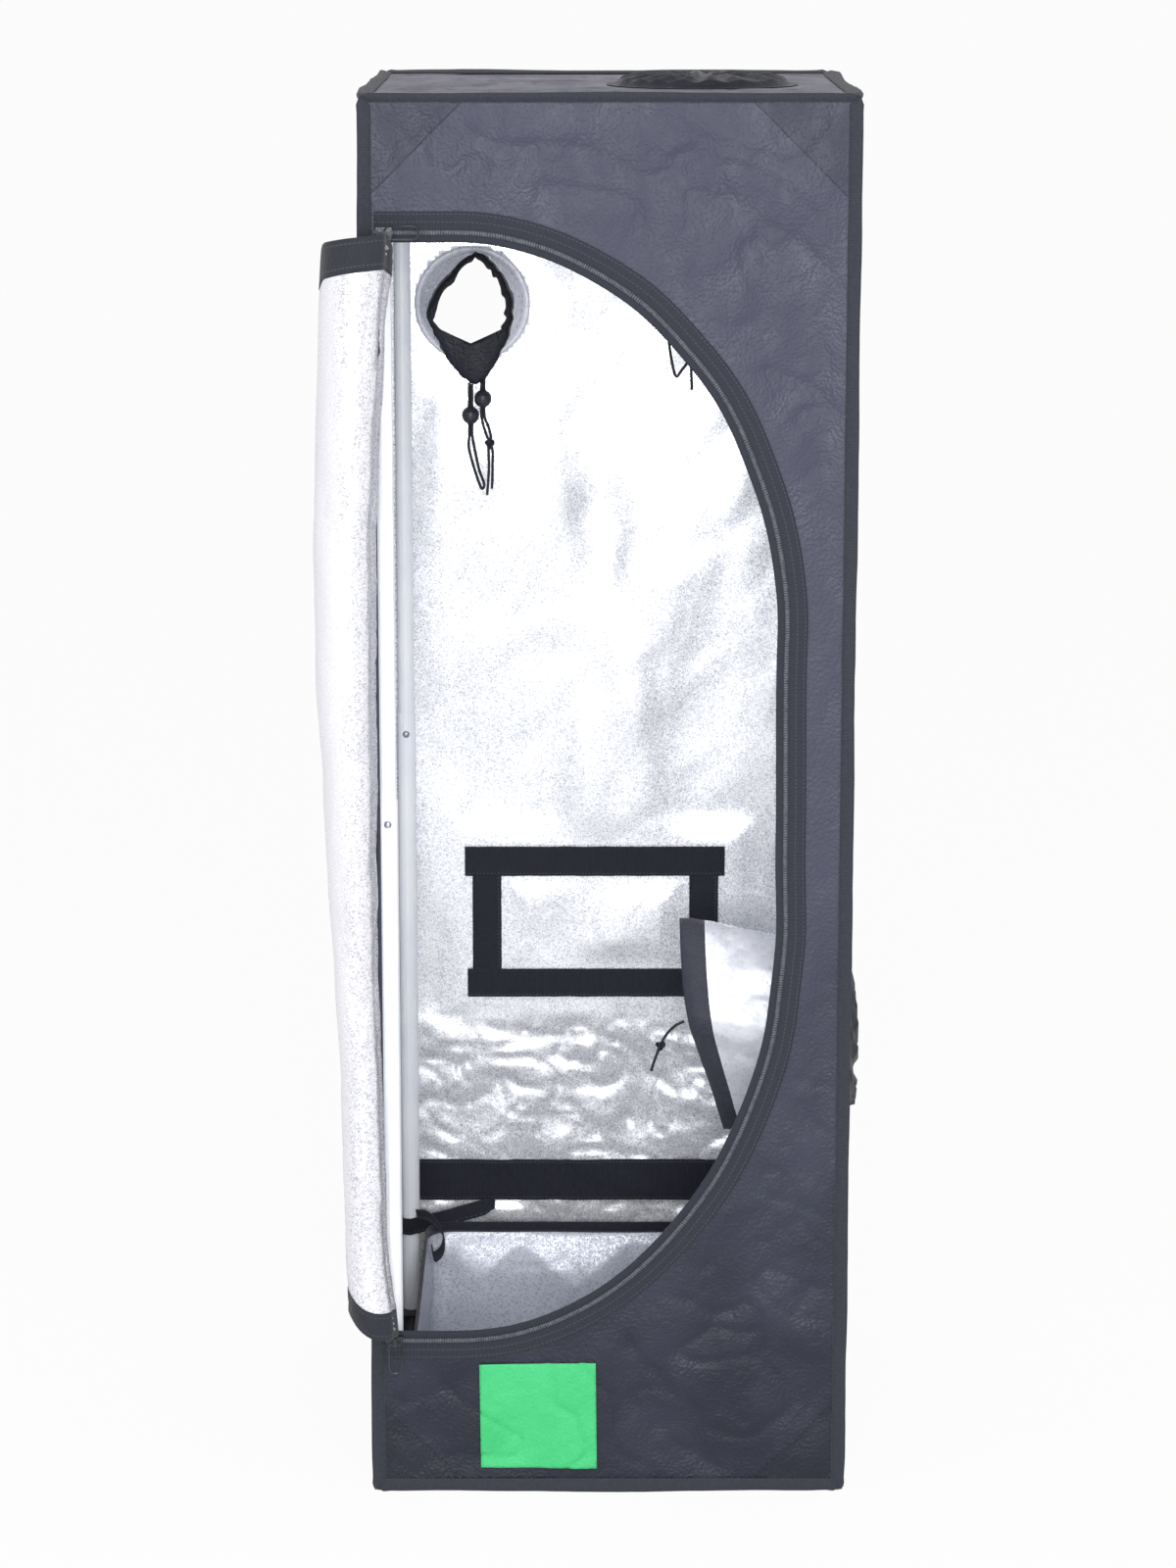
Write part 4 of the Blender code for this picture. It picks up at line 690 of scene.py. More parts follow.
def add_panel(name, cells, size, place, outside, *cuts):
    """A panel of the cover with its holes cut. Each cut is a function with what it needs."""
    made = bmesh.new()
    lay_grid(made, cells, size, place)
    for cut, *needs in cuts:
        cut(made, *needs)
    return add_piece(name + "_panel", made, [outside, silver_film], "tent", ["cover_" + name], CLOTH, inside=1)


# %% [markdown]
# The side panels, the roof and the floor. Each keeps clear of the frame inside it, so its swells fade
# out towards the seams, where the tubes press the cloth flat.

# %% Left, right, roof and floor panels
SIDE_ENDS = (-SEAM, LOW), (SEAM, HIGH)
FLAT_ENDS = (-HALF, -HALF), (HALF, HALF)
TALL_ENDS = (-HALF, LOW), (HALF, HIGH)


def panel_mask(a, b, low, high, reach=0.045):
    """Fades the swells of a panel out towards its four seams."""
    return ease(min(a - low[0], high[0] - a, b - low[1], high[1] - b), reach)


def corner_lift(a, b, low, high, size=0.080):
    """The patch sewn behind each corner shows as a low step with a puckered slanting seam."""
    edge = min(a - low[0], high[0] - a) + min(b - low[1], high[1] - b)
    return ease(size + 0.004 - edge, 0.006) * 0.0005 + hump(edge - size, 0.003) * -0.0007


def port_mask(spot, port, reach=0.040):
    """Fades the swells out round a port."""
    return ease(beside_port(spot, port).length - PORTS[port][4] - 0.008, reach)


def side_panel(way, seed, port=None):
    """The bend of the left panel, way -1, or of the right one, way 1."""

    def place(u, v):
        a, b = way * (-SEAM + 2 * SEAM * u), LOW + (HIGH - LOW) * v
        mask = panel_mask(a, b, *SIDE_ENDS)
        if port:
            mask *= port_mask(Vector((HALF, a, b)), port)
        out = 0.0022 * mask * swell(a, b, seed, 0.085, 2.2) + corner_lift(a, b, *SIDE_ENDS)
        return Vector((way * (HALF + out), a, b))

    return place


def roof_place(u, v):
    a, b = -HALF + 2 * HALF * u, -HALF + 2 * HALF * v
    mask = panel_mask(a, b, *FLAT_ENDS) * port_mask(Vector((a, b, HEIGHT)), "roof", 0.02)
    out = 0.0034 * mask * swell(a, b, 11.3, 0.110, 0.32) + corner_lift(a, b, *FLAT_ENDS)
    return Vector((a, b, HEIGHT + out))


def floor_place(u, v):
    a, b = -HALF + 2 * HALF * u, HALF - 2 * HALF * v
    return Vector((a, b, 0.0002 * panel_mask(a, b, *FLAT_ENDS) * (1 + swell(a, b, 2.2, 0.05))))


PANELS = [
    ("left", (84, 240), (0.397, 1.186), side_panel(-1, 3.1), wall_cloth, None),
    ("right", (84, 240), (0.397, 1.186), side_panel(1, 7.7, "side"), wall_cloth, "side"),
    ("roof", (96, 96), (0.4, 0.4), roof_place, roof_cloth_painted_lighter, "roof"),
    ("floor", (40, 40), (0.4, 0.4), floor_place, roof_cloth_painted_lighter, None),
]
for name, cells, size, place, outside, port in PANELS:
    cuts = [(port_hole, port)] if port else []
    add_panel(name, cells, size, place, outside, *cuts)

# %% [markdown]
# The back panel is what the open door shows, so it has the most to say: it hangs in soft folds low
# down, is drawn flat round its port, and is cut away behind the vent.

# %% Back panel
VENT_LOW, VENT_HIGH = (-0.100, 0.358), (0.080, 0.448)
SLACK_LEVEL = 0.365


def back_bulge(x, z):
    """How far the back panel stands inward at a place."""
    mask = panel_mask(x, z, *TALL_ENDS, 0.050) * port_mask(Vector((x, INNER, z)), "back")
    beside_vent = max(VENT_LOW[0] - 0.036 - x, x - VENT_HIGH[0] - 0.036)
    over_vent = max(VENT_LOW[1] - 0.030 - z, z - VENT_HIGH[1] - 0.030)
    mask *= ease(max(beside_vent, over_vent), 0.035)
    slack = ease(SLACK_LEVEL - z, 0.070)
    broad = swell(x, z, 21.7, 0.085, 2.6, 0.0) + 0.18 * swell(x - 0.5 * z, z, 27.1, 0.040, 1.5, 0.0)
    creased = swell(x + 0.4 * z, z, 5.9, 0.075, 0.62) + 0.35 * swell(x, z, 17.3, 0.036, 0.7)
    return 0.0036 * mask * (1.9 * broad * (1 - 0.7 * slack) + 1.25 * creased * slack)


def back_place(u, v):
    x, z = HALF - 2 * HALF * u, LOW + (HIGH - LOW) * v
    return Vector((x, HALF - back_bulge(x, z), z))


def in_vent(spot):
    return VENT_LOW[0] < spot.x < VENT_HIGH[0] and VENT_LOW[1] < spot.z < VENT_HIGH[1]


def vent_snap(spot):
    """Move a point onto the nearer side of the vent's outline."""
    moved = spot.copy()
    for axis, *sides in ((0, VENT_LOW[0], VENT_HIGH[0]), (2, VENT_LOW[1], VENT_HIGH[1])):
        for side in sides:
            if abs(spot[axis] - side) < 0.0035:
                moved[axis] = side
    return moved


cuts = [(port_hole, "back"), (cut_hole, in_vent, vent_snap)]
back_panel = add_panel("back", (110, 290), (0.4, 1.186), back_place, wall_cloth, *cuts)

# %% [markdown]
# The front panel is cut along the door's curve. The cut edge is drawn onto the line that the zip tape
# then covers, 8 mm inside the coil.

# %% Front panel
DOOR_EDGE = [along_zip(k / 900, -TAPE_INNER) for k in range(901)]


def front_place(u, v):
    x, z = -HALF + 2 * HALF * u, LOW + (HIGH - LOW) * v
    away = door_distance(x, z) - 0.018
    mask = panel_mask(x, z, *TALL_ENDS, 0.030) * ease(away, 0.030)
    folds = swell(x + 0.5 * z, z, 31.4, 0.085, 1.0) + 0.35 * swell(x - 0.7 * z, z, 8.6, 0.032, 1.6)
    out = 0.0046 * mask * folds + corner_lift(x, z, *TALL_ENDS, 0.076) * ease(away + 0.01, 0.01)
    return Vector((x, -HALF - out, z))


def in_door(spot):
    return spot.x > ZIP_LEFT and door_distance(spot.x, spot.z) < -TAPE_INNER


def door_snap(spot):
    """Move a point onto the nearest point of the door's cut edge."""
    if spot.x < ZIP_LEFT + 0.004 and ZIP_SILL + 0.010 < spot.z < ZIP_TOP - 0.010:
        return Vector((ZIP_LEFT, spot.y, spot.z))
    near = min(DOOR_EDGE, key=lambda p: (p[0] - spot.x) ** 2 + (p[1] - spot.z) ** 2)
    return Vector((near[0], spot.y, near[1]))


cut = (cut_hole, in_door, door_snap)
front_panel = add_panel("front", (100, 298), (0.4, 1.186), front_place, wall_cloth, cut)

# %% [markdown]
# Every seam is bound: a woven tape is folded over the raw edges and sewn through twice. It stands a
# little proud, wavers along its length, and gathers to a small ear where three seams meet. Its
# profile says, in millimetres, how far each point stands out from the seam's two faces.

# %% Edge binding
BINDING_PROFILE = [
    (0.8, -9.6), (1.7, -8.2), (2.3, -5.0), (3.0, -1.6), (3.3, 1.2), (2.8, 2.8), (1.2, 3.3), (-1.6, 3.0),
    (-5.0, 2.3), (-8.2, 1.7), (-9.6, 0.8), (-9.0, 0.3), (-4.0, 0.3), (0.25, 0.25), (0.3, -4.0), (0.3, -9.0),
]


def binding_run(made, start, end, face_a, face_b, seed, reach=(0.8, 0.8)):
    """One run of binding along an edge, which reaches this share of its width over the two faces."""
    length = (end - start).length
    count = len(BINDING_PROFILE)

    def place(u, v):
        k = round(v * count) % count
        a, b = (part * (share if part < -1 else 1) for part, share in zip(BINDING_PROFILE[k], reach))
        nose = 0.5 + 0.5 * max(0.0, (a + b) / 6)
        wave = ripple(u * length / 0.045, seed, 0) * 0.9 + ripple(u * length / 0.016, seed, 4) * 0.35
        slack = max(0.0, 0.3 + ripple(u * length / 0.13, seed, 9)) * 0.0022 * nose
        grow = 1 + 0.16 * wave * nose
        to_end = min(u, 1 - u) * length
        ear = hump(to_end, 0.006) * 0.0016 * nose + slack * ease(to_end, 0.03)
        cap = 0.05 if u in (0, 1) else 1.0
        out = (face_a * a + face_b * b) * MM * grow * (cap if to_end < 0.001 else 1)
        return start.lerp(end, u) + out + (face_a + face_b) * ear * (1 if a + b > 0 else 0)

    lay_grid(made, (max(8, round(length / 0.006)), count), (length, 0.040), place)


BINDING_LEVELS = [(0.0036, -Z, (0.8, 0.8)), (HEIGHT, Z, (0.75, 0.40))]
made = bmesh.new()
seed = 0
for a in (-1, 1):
    for b in (-1, 1):
        seed += 3.7
        foot, head = Vector((a * HALF, b * HALF, 0.0008)), Vector((a * HALF, b * HALF, HEIGHT))
        binding_run(made, foot, head, X * a, Y * b, seed)
        for level, up, reach in BINDING_LEVELS if a > 0 else ():
            left, right = Vector((-HALF, b * HALF, level)), Vector((HALF, b * HALF, level))
            near, far = Vector((b * HALF, -HALF, level)), Vector((b * HALF, HALF, level))
            binding_run(made, left, right, Y * b, up, seed + a, reach)
            binding_run(made, near, far, X * b, up, seed + 9, reach)
weld(made, solid=True)
add_piece("edge_binding_tape", made, [binding_tape], "tent", ["edge_binding"], close=False)

# %% [markdown]
# The zip is sewn round the opening on a woven tape. Its nylon coil is two rows of hooks that mesh half
# a step apart, 2.1 mm from one to the next. A ribbon whose surface rises and falls in two staggered
# rows gives the same look as a thousand separate hooks.

# %% Zip tape and coil
TAPE_FACE, COIL_FACE = -0.2004, -0.20165
COIL_HEIGHT, COIL_HALF, TOOTH = 0.00105, 0.0021, 0.0021


def tape_place(u, v):
    offset = -TAPE_INNER + (TAPE_OUTER + TAPE_INNER) * v
    x, z = along_zip(u, offset)
    pucker = 0.00012 * sin(u * ZIP_LENGTH / 0.0034 * 2 * pi / 3) * hump(offset - 0.012, 0.004)
    ridge = 0.0003 * ease(offset - 0.0075, 0.0015)
    return Vector((x, TAPE_FACE - 0.0003 - ridge - pucker, z))


def coil_place(u, v):
    turn = 2 * pi * v
    side = cos(turn)
    phase = 2 * pi * u * ZIP_LENGTH / TOOTH + (0 if side > 0 else pi)
    hook = 1 + 0.30 * cos(phase) * min(1.0, abs(side) * 3 + 0.2)
    x, z = along_zip(u, COIL_HALF * side * (0.93 + 0.07 * cos(phase)))
    y = COIL_FACE if sin(turn) < 0 else COIL_FACE - COIL_HEIGHT * hook * sin(turn)
    return Vector((x, y, z))


TAPE_SIZE = (ZIP_LENGTH, 0.025)
lay_piece(
    "zip_tape_sewn", (700, 12), TAPE_SIZE, tape_place, [zip_cloth], "tent", ["zip_tape"], 0.0005, offset=0.0
)
made = bmesh.new()
lay_grid(made, (ceil(ZIP_LENGTH / TOOTH) * 4, 10), (ZIP_LENGTH, 0.01), coil_place)
weld(made, solid=True)
add_piece("zip_coil", made, [nylon_coil_painted_glints], "tent", ["zip_chain"], close=False)

# %% [markdown]
# The door is a D-shaped sheet, sewn to the corner seam and rolled up outward, so its silver side
# shows. Each point of the flat door is wound round the roll: the longer the way from the seam, the
# further round and in. Its curved edge carries a broad black tape, which shows at both ends. The
# stations give the roll's thickness and its lean in degrees at shares of its height.

# %% How the door is wound
HINGE = Vector((-0.20335, -0.20335, 0))
ROLL_RADIUS, ROLL_STANDOFF, ROLL_PITCH, ROLL_STEP = 0.0293, 0.0034, 0.0026, 0.0016
ROLL_LOW, ROLL_HIGH = 0.1534, 1.0731
ROLL_START, CREASE_TURN = radians(178), radians(50)
ROLL_STATIONS = [
    (0.00, 0.72, 7.4), (0.10, 0.62, -6.3), (0.24, 0.60, -13.3), (0.34, 0.65, -19.7), (0.42, 0.72, -23.4),
    (0.52, 0.76, -25.0), (0.62, 0.85, -27.0), (0.73, 0.88, -25.6), (0.81, 0.90, -19.6), (0.92, 0.94, -8.0),
    (1.00, 1.00, 1.0),
]
PINCHES = [(0.775, -25.0), (0.395, -35.0), (0.330, 20.0)]
PINCH_DEPTH, PINCH_WIDTH, PINCH_HEIGHT = 0.0050, radians(34), 0.026


def station(share, column):
    """A value of the roll's table at a share of its height."""
    for lower, upper in zip(ROLL_STATIONS, ROLL_STATIONS[1:]):
        if share <= upper[0]:
            t = (1 - cos(pi * (share - lower[0]) / (upper[0] - lower[0]))) / 2
            return lower[column] + (upper[column] - lower[column]) * t
    return ROLL_STATIONS[-1][column]


def turn_from(turn, other):
    """The angle from one turn to another, the short way."""
    return (turn - other + pi) % (2 * pi) - pi


def pinch(turn, z):
    """How deep the pinched folds press in."""
    depth = 0.0
    for share, degrees in PINCHES:
        aside = turn_from(turn, radians(degrees)) / PINCH_WIDTH
        level = (z - ROLL_LOW - (ROLL_HIGH - ROLL_LOW) * share) / PINCH_HEIGHT
        depth += PINCH_DEPTH * exp(-(aside**2) - level**2)
    return depth


def on_roll(way, z):
    """The place of a point of the door, from its way to the seam and its height."""
    share = min(max((z - ROLL_LOW) / (ROLL_HIGH - ROLL_LOW), 0.0), 1.0)
    radius = ROLL_RADIUS * station(share, 1)
    lean = radians(station(share, 2))
    middle = HINGE + Vector((sin(lean), -cos(lean), 0)) * (radius + ROLL_STANDOFF)
    rest = radius * radius - ROLL_PITCH * min(way, 0.9 * pi * radius * radius / ROLL_PITCH) / pi
    wound = (radius - sqrt(max(rest, 0.0))) * 2 * pi / ROLL_PITCH
    turn = ROLL_START - wound
    under = (ROLL_START - CREASE_TURN) - wound
    if under > 0:
        left = under / (ROLL_START - CREASE_TURN)
        inset = ROLL_STEP * (0.65 + 0.35 * (1 - left)) * ease(under * radius, 0.004)
        inset += 0.0009 * sin(under * 9 + 6 * ripple(0, 0, z / 0.12)) * ease(under * radius, 0.006)
    else:
        inset = -under * ROLL_PITCH / (2 * pi)
    layer = max(0.0, 1 - max(0.0, -under) / (2 * pi))
    wrinkle = swell(turn * radius, z, 41.0, 0.040, 2.4) * 0.0014
    wrinkle += swell(turn * radius, z, 47.0, 0.016, 1.6) * 0.0006
    reach = max(radius - inset - (pinch(turn, z) - wrinkle - 0.0004) * layer, 0.002)
    lift = 0.021 * ease(0.075 - (z - ROLL_LOW), 0.075) * ((1 - sin(turn)) / 2) ** 3 * min(1.0, layer + 0.6)
    found = middle + Vector((reach * sin(turn), -reach * cos(turn), z + lift))
    found.z += 0.011 * ease(z - ROLL_HIGH + 0.060, 0.060) * ease(-0.238 - found.y, 0.014)
    seam = HINGE + Vector((0, 0, z + lift))
    return seam.lerp(found, ease(way, 0.006)) if way < 0.006 else found


def door_width(z):
    """Width of the flat door at a height."""
    flat = ZIP_SILL + (ZIP_TOP - ZIP_SILL) * (z - ROLL_LOW) / (ROLL_HIGH - ROLL_LOW)
    rest = max((flat - UPPER_BEND) / UPPER_ARC, (LOWER_BEND - flat) / LOWER_ARC, 0)
    return ZIP_MIDDLE - ZIP_LEFT + ARC_WIDTH * sqrt(max(0.0, 1 - min(rest, 1.0) ** 2))


print("door width half way up", round(door_width(0.6), 3))

# %% Door cloth and its edge tape
def door_place(u, v):
    z = ROLL_LOW + (ROLL_HIGH - ROLL_LOW) * v
    return on_roll(door_width(z) * u, z)


def door_tape_place(u, v):
    x, z = along_zip(u, -0.024 * (1 - v) + 0.0006 * v)
    level = ROLL_LOW + (z - ZIP_SILL) * (ROLL_HIGH - ROLL_LOW) / (ZIP_TOP - ZIP_SILL)
    return on_roll(max(x - ZIP_LEFT, 0.0), level)


door = lay_piece(
    "door_cloth", (120, 190), (0.338, 0.92), door_place, [coated_cloth, roll_film_painted_light], "door", ["door_roll"],
    FILM, offset=0.0, inside=1, close=False,
)
lay_piece(
    "door_edge_tape", (420, 10), (ZIP_LENGTH, 0.024), door_tape_place, [door_tape], "door",
    ["door_tape_top", "door_tape_bottom"], 0.0019, offset=0.0, close=False,
)

# %% [markdown]
# A duct sleeve is a sock of the same cloth turned inside out: silver outside, black inside, with a
# drawstring in its hem. Drawing the string shut gathers the hem into many small pleats, while the neck
# stays round where it is sewn to the panel. Each mouth has the sleeve's length and points round its
# rim, as shares of the port's radius and of that length.

# %% Duct sleeves
MOUTHS = {
    "back": (0.066, [
        (0.00, 1.02, 1.00), (0.46, 0.76, 1.00), (0.74, 0.10, 1.00), (0.62, -0.56, 1.00),
        (0.26, -1.280, 1.00), (-0.08, -1.280, 1.00), (-0.58, -0.56, 1.00), (-0.76, 0.05, 1.00),
    ]),
    "side": (0.138, [
        (0.07, 1.33, 1.00), (0.42, 0.76, 0.98), (0.55, 0.12, 0.93), (0.42, -0.58, 0.81),
        (0.04, -1.35, 0.70), (-0.38, -0.53, 0.83), (-0.57, 0.20, 0.95), (-0.38, 0.78, 0.99),
    ]),
    "roof": (0.112, [
        (-0.19, 0.32, 1.00), (0.06, 0.24, 1.00), (0.16, 0.00, 1.00), (0.06, -0.24, 1.00),
        (-0.19, -0.32, 1.00), (-0.44, -0.24, 1.00), (-0.54, 0.00, 1.00), (-0.44, 0.24, 1.00),
    ]),
}
BLEND = [(0.0, 0.0), (0.03, 0.0), (0.25, 0.22), (0.50, 0.50), (0.76, 0.80), (1.0, 1.0)]
SLEEVE_SIDES, NECK = 128, 0.05


def between(table, share):
    """A value read off a table by straight lines."""
    for (a, low), (b, high) in zip(table, table[1:]):
        if share <= b:
            return low + (high - low) * (share - a) / (b - a)
    return table[-1][1]


def make_sleeve(
    port, name, node, hem_cloth, hem=0.016, pleats=16, depth=0.0016, roll_in=0.004, ridge=None, pouch=None
):
    """An open sleeve from its neck to its gathered mouth, whose hem rolls in.

    A ridge, given by its turn and depth, is a fold along it. A pouch closes its lower tip up to a level.
    """
    length, shares = MOUTHS[port]
    radius = PORTS[port][4]
    points = [Vector((x * radius, y * radius, z * length)) for x, y, z in shares]
    mouth = curve_points([points[-1], *points, *points[:2]], SLEEVE_SIDES // len(points))
    flat_middle = sum(mouth, Vector()) / SLEEVE_SIDES
    seed = radius * 100 + length

    def place(u, v):
        k = round(u * SLEEVE_SIDES) % SLEEVE_SIDES
        turn = pi / 2 - 2 * pi * k / SLEEVE_SIDES
        if v < NECK:
            ring = radius + 0.0025 - 0.0055 * v / NECK
            return at_port(port, ring * cos(turn), 0.0002 + 0.0008 * v / NECK, ring * sin(turn))
        share = (v - NECK) / (1 - NECK)
        blend = between(BLEND, share)
        neck = Vector((cos(turn), sin(turn), 0)) * (radius - 0.003)
        rim = mouth[k]
        plain = neck.lerp(Vector((rim.x, rim.y, 0)), blend)
        centre = Vector((flat_middle.x, flat_middle.y, 0)) * blend
        inward = (centre - plain).normalized()
        gather = cos(2 * pi * k * pleats / SLEEVE_SIDES + 3 * ripple(cos(turn) * 3, sin(turn) * 3, seed))
        gather *= depth * blend**1.5 * (1 + ripple(cos(turn) * 4, seed, sin(turn) * 4))
        rumple = 0.0022 * sin(pi * share) * swell(k * 0.0035, share * length, seed, 0.030)
        curl = ease(share - 0.90, 0.10)
        fold = 0.0
        if ridge:
            fold = max(0.0, 1 - abs(turn_from(turn, ridge[0])) / 0.45) * ridge[1] * ease(share, 0.3)
        lip = roll_in + gather * 0.5
        spot = plain + inward * (0.0006 + gather * 0.6 + max(-0.0016, rumple) + curl * lip - fold)
        if pouch:
            spot.y += curl * max(0.0, pouch * radius + 0.45 * abs(spot.x) - spot.y)
        return at_port(port, spot.x, 0.0014 + share * (rim.z - 0.0014) - 0.003 * curl * curl, spot.y)

    def cloth_of(u, v):
        return 1 if (v - NECK) / (1 - NECK) > 1 - hem / length else 0

    made = bmesh.new()
    lay_grid(made, (SLEEVE_SIDES, 40), (2 * pi * radius, length + 0.0085), place, cloth_of)
    weld(made)
    face_out(made)
    cloths = [smooth_film, hem_cloth, sleeve_cloth, sleeve_cloth]
    sleeve = add_piece(name, made, cloths, "tent", [node], FILM, inside=2, close=False)


RIDGE = (radians(174), 0.0065)
make_sleeve("back", "back_sleeve_cloth", "back_sleeve", sleeve_cloth, 0.017, 15, 0.0012, 0.0055, pouch=-0.58)
make_sleeve("side", "side_sleeve_cloth", "side_sleeve_inner", hem_tape, 0.027, 10, 0.0008, 0.002, RIDGE)
make_sleeve("roof", "roof_sleeve_cloth", "roof_sleeve_inner", hem_tape, pleats=20)

# %% [markdown]
# Outside, the two larger ports have a second sleeve that is drawn quite shut. All its cloth runs
# together into a pleated rosette, which droops on the wall and lies down on the roof. Its rings run
# from the rim to the middle, with their reach, bulge, droop and depth of pleat as shares.

# %% Outer sleeves drawn shut
ROSETTE_FACE = -0.0012 - 0.0004 - 0.0006
ROSETTE_RINGS = [
    (1.085, 0.0, 0.0, 0.0), (1.00, 0.02, 0.0, 0.05), (0.97, 0.26, 0.0, 0.15), (0.92, 0.62, 0.15, 0.5),
    (0.72, 0.93, 0.60, 1.0), (0.46, 1.0, 0.90, 1.0), (0.20, 0.80, 1.0, 0.6), (0.0, 0.66, 1.0, 0.0),
]
ROSETTE_COLUMNS = [[(k / 7, ring[c]) for k, ring in enumerate(ROSETTE_RINGS)] for c in range(4)]


def make_rosette(port, name, node, bulge, sag, pleats):
    """A pleated rosette over its port."""
    radius = PORTS[port][4]

    def place(u, v):
        reach, out, drop, pleat = (between(column, v) for column in ROSETTE_COLUMNS)
        turn = 2 * pi * u
        wander = 1.2 * ripple(cos(turn) * 2, sin(turn) * 2, v * 1.4)
        fold = cos(turn * pleats + 1.6 * sin(turn * 3) + wander)
        wave = 0.0022 * pleat * fold + 0.0012 * pleat * ripple(cos(turn) * 5, sin(turn) * 5, v * 3)
        swirl = turn + 0.25 * v * v
        outward = ROSETTE_FACE - out * bulge - wave
        return at_port(port, reach * radius * cos(swirl), outward, reach * radius * sin(swirl) - drop * sag)

    made = bmesh.new()
    lay_grid(made, (192, 42), (2 * pi * radius, 0.10), place)
    weld(made)
    made.normal_update()
    if sum(face.normal.dot(PORTS[port][2]) for face in made.faces) > 0:
        bmesh.ops.reverse_faces(made, faces=made.faces[:])
    piece = add_piece(name, made, [sleeve_cloth], "tent", [node], FILM, close=False)


make_rosette("side", "side_sleeve_drawn_shut", "side_sleeve_outer", 0.018, 0.030, 15)
make_rosette("roof", "roof_sleeve_drawn_shut", "roof_sleeve_outer", 0.0085, 0.012, 17)

# %% [markdown]
# The vent is a hole in the back panel with a net sewn over it outside. Inside, a flap of the same
# cloth covers it, held by a border of hook-and-loop strips, and it swings down from its lower edge.

# %% Vent net and flap
FLAP_LOW, FLAP_HIGH, FLAP_HEM = (-0.125, 0.333), (0.105, 0.477), 0.027
FLAP_SOFT = [tuple(v + FLAP_HEM for v in FLAP_LOW), tuple(v - FLAP_HEM for v in FLAP_HIGH)]


def net_place(u, v):
    return Vector((0.088 - 0.196 * u, 0.2006, 0.350 + 0.106 * v))


def flap_place(u, v):
    x, z = (low + (high - low) * share for low, high, share in zip(FLAP_LOW, FLAP_HIGH, (u, v)))
    mask = panel_mask(x, z, *FLAP_SOFT, 0.030)
    return Vector((x, 0.1976 - 0.0032 * mask * (0.40 + swell(x, z, 9.1, 0.110, 1.0, 0.12)), z))


net = lay_piece(
    "vent_net_cloth", (20, 12), (0.196, 0.106), net_place, [fine_net], "tent", ["vent_net"], 0.0005, offset=0.0
)
flap = lay_piece(
    "vent_flap_cloth", (76, 48), (0.230, 0.144), flap_place, [silver_film, coated_cloth], "vent_flap",
    ["vent_flap"], FILM, inside=1,
)

# %% Vent border
STRIP_FACE = 0.1958


def strip_into(made, low, high, upright, seed):
    """One strip of webbing, with slightly uneven edges."""
    wide, tall = high[0] - low[0], high[1] - low[1]
    size = (tall, wide) if upright else (wide, tall)

    def place(u, v):
        u, v = (v, u) if upright else (u, v)
        edge = 0.0004 * ripple(u * 14, v * 14, seed)
        x, z = low[0] + wide * (1 - u if upright else u), low[1] + tall * v
        y = STRIP_FACE - 0.0004 * ripple(x / 0.03, z / 0.03, seed) - (0.0003 if not upright else 0)
        return Vector((x + edge, y, z + edge))

    lay_grid(made, (max(6, round(size[0] / 0.004)), max(4, round(size[1] / 0.004))), size, place)


made = bmesh.new()
strip_into(made, (-0.130, 0.333), (0.110, 0.360), False, 1.0)
strip_into(made, (-0.132, 0.450), (0.111, 0.478), False, 2.0)
strip_into(made, (-0.125, 0.352), (-0.098, 0.459), True, 3.0)
strip_into(made, (0.078, 0.352), (0.105, 0.459), True, 4.0)
add_piece(
    "vent_border_webbing", made, [black_webbing], "vent_flap", ["vent_flap_border"], 0.0011, offset=0.0,
    close=False,
)

# %% [markdown]
# A broad band of webbing is sewn across the back panel above the tray. It follows the panel's folds.

# %% Back band
def band_place(u, v):
    x, z = -0.1975 + 0.395 * u, 0.132 + 0.040 * v + 0.0006 * ripple(u * 9, v, 0.5)
    return Vector((x, SEAM - max(0.0, back_bulge(x, z)) - 0.0010, z))


band = lay_piece(
    "back_band_webbing", (110, 12), (0.395, 0.040), band_place, [black_webbing], "tent", ["back_band"],
    0.0012, offset=0.0,
)

# %% [markdown]
# The spill tray is one square of grey film cloth, with its edges folded up and its corners tucked, and
# a dark tape bound over the rim. So each point of a flat square either lies on the floor or stands up
# in a wall, and the walls sag between their corners. Three dents in the far wall are given by their
# place along it, their height and their depth.

# %% Spill tray
TRAY_HALF, TRAY_FLOOR, TRAY_TOP, TRAY_CORNER = 0.1688, 0.0021, 0.1185, 0.022
TRAY_WALL = TRAY_TOP - TRAY_FLOOR
TRAY_DENTS = [(-0.1217, 0.062, 0.008), (-0.0287, 0.054, 0.012), (0.075, 0.066, 0.007)]


def tray_outline(px, py):
    """Round the corners of the tray's square outline."""
    a, b = abs(px), abs(py)
    inner = TRAY_HALF - TRAY_CORNER
    if a > inner and b > inner:
        da, db = a - inner, b - inner
        size = max(da, db)
        scale = size / hypot(da, db) if size > 0 else 1
        a, b = inner + da * scale, inner + db * scale
    return (a if px > 0 else -a), (b if py > 0 else -b)


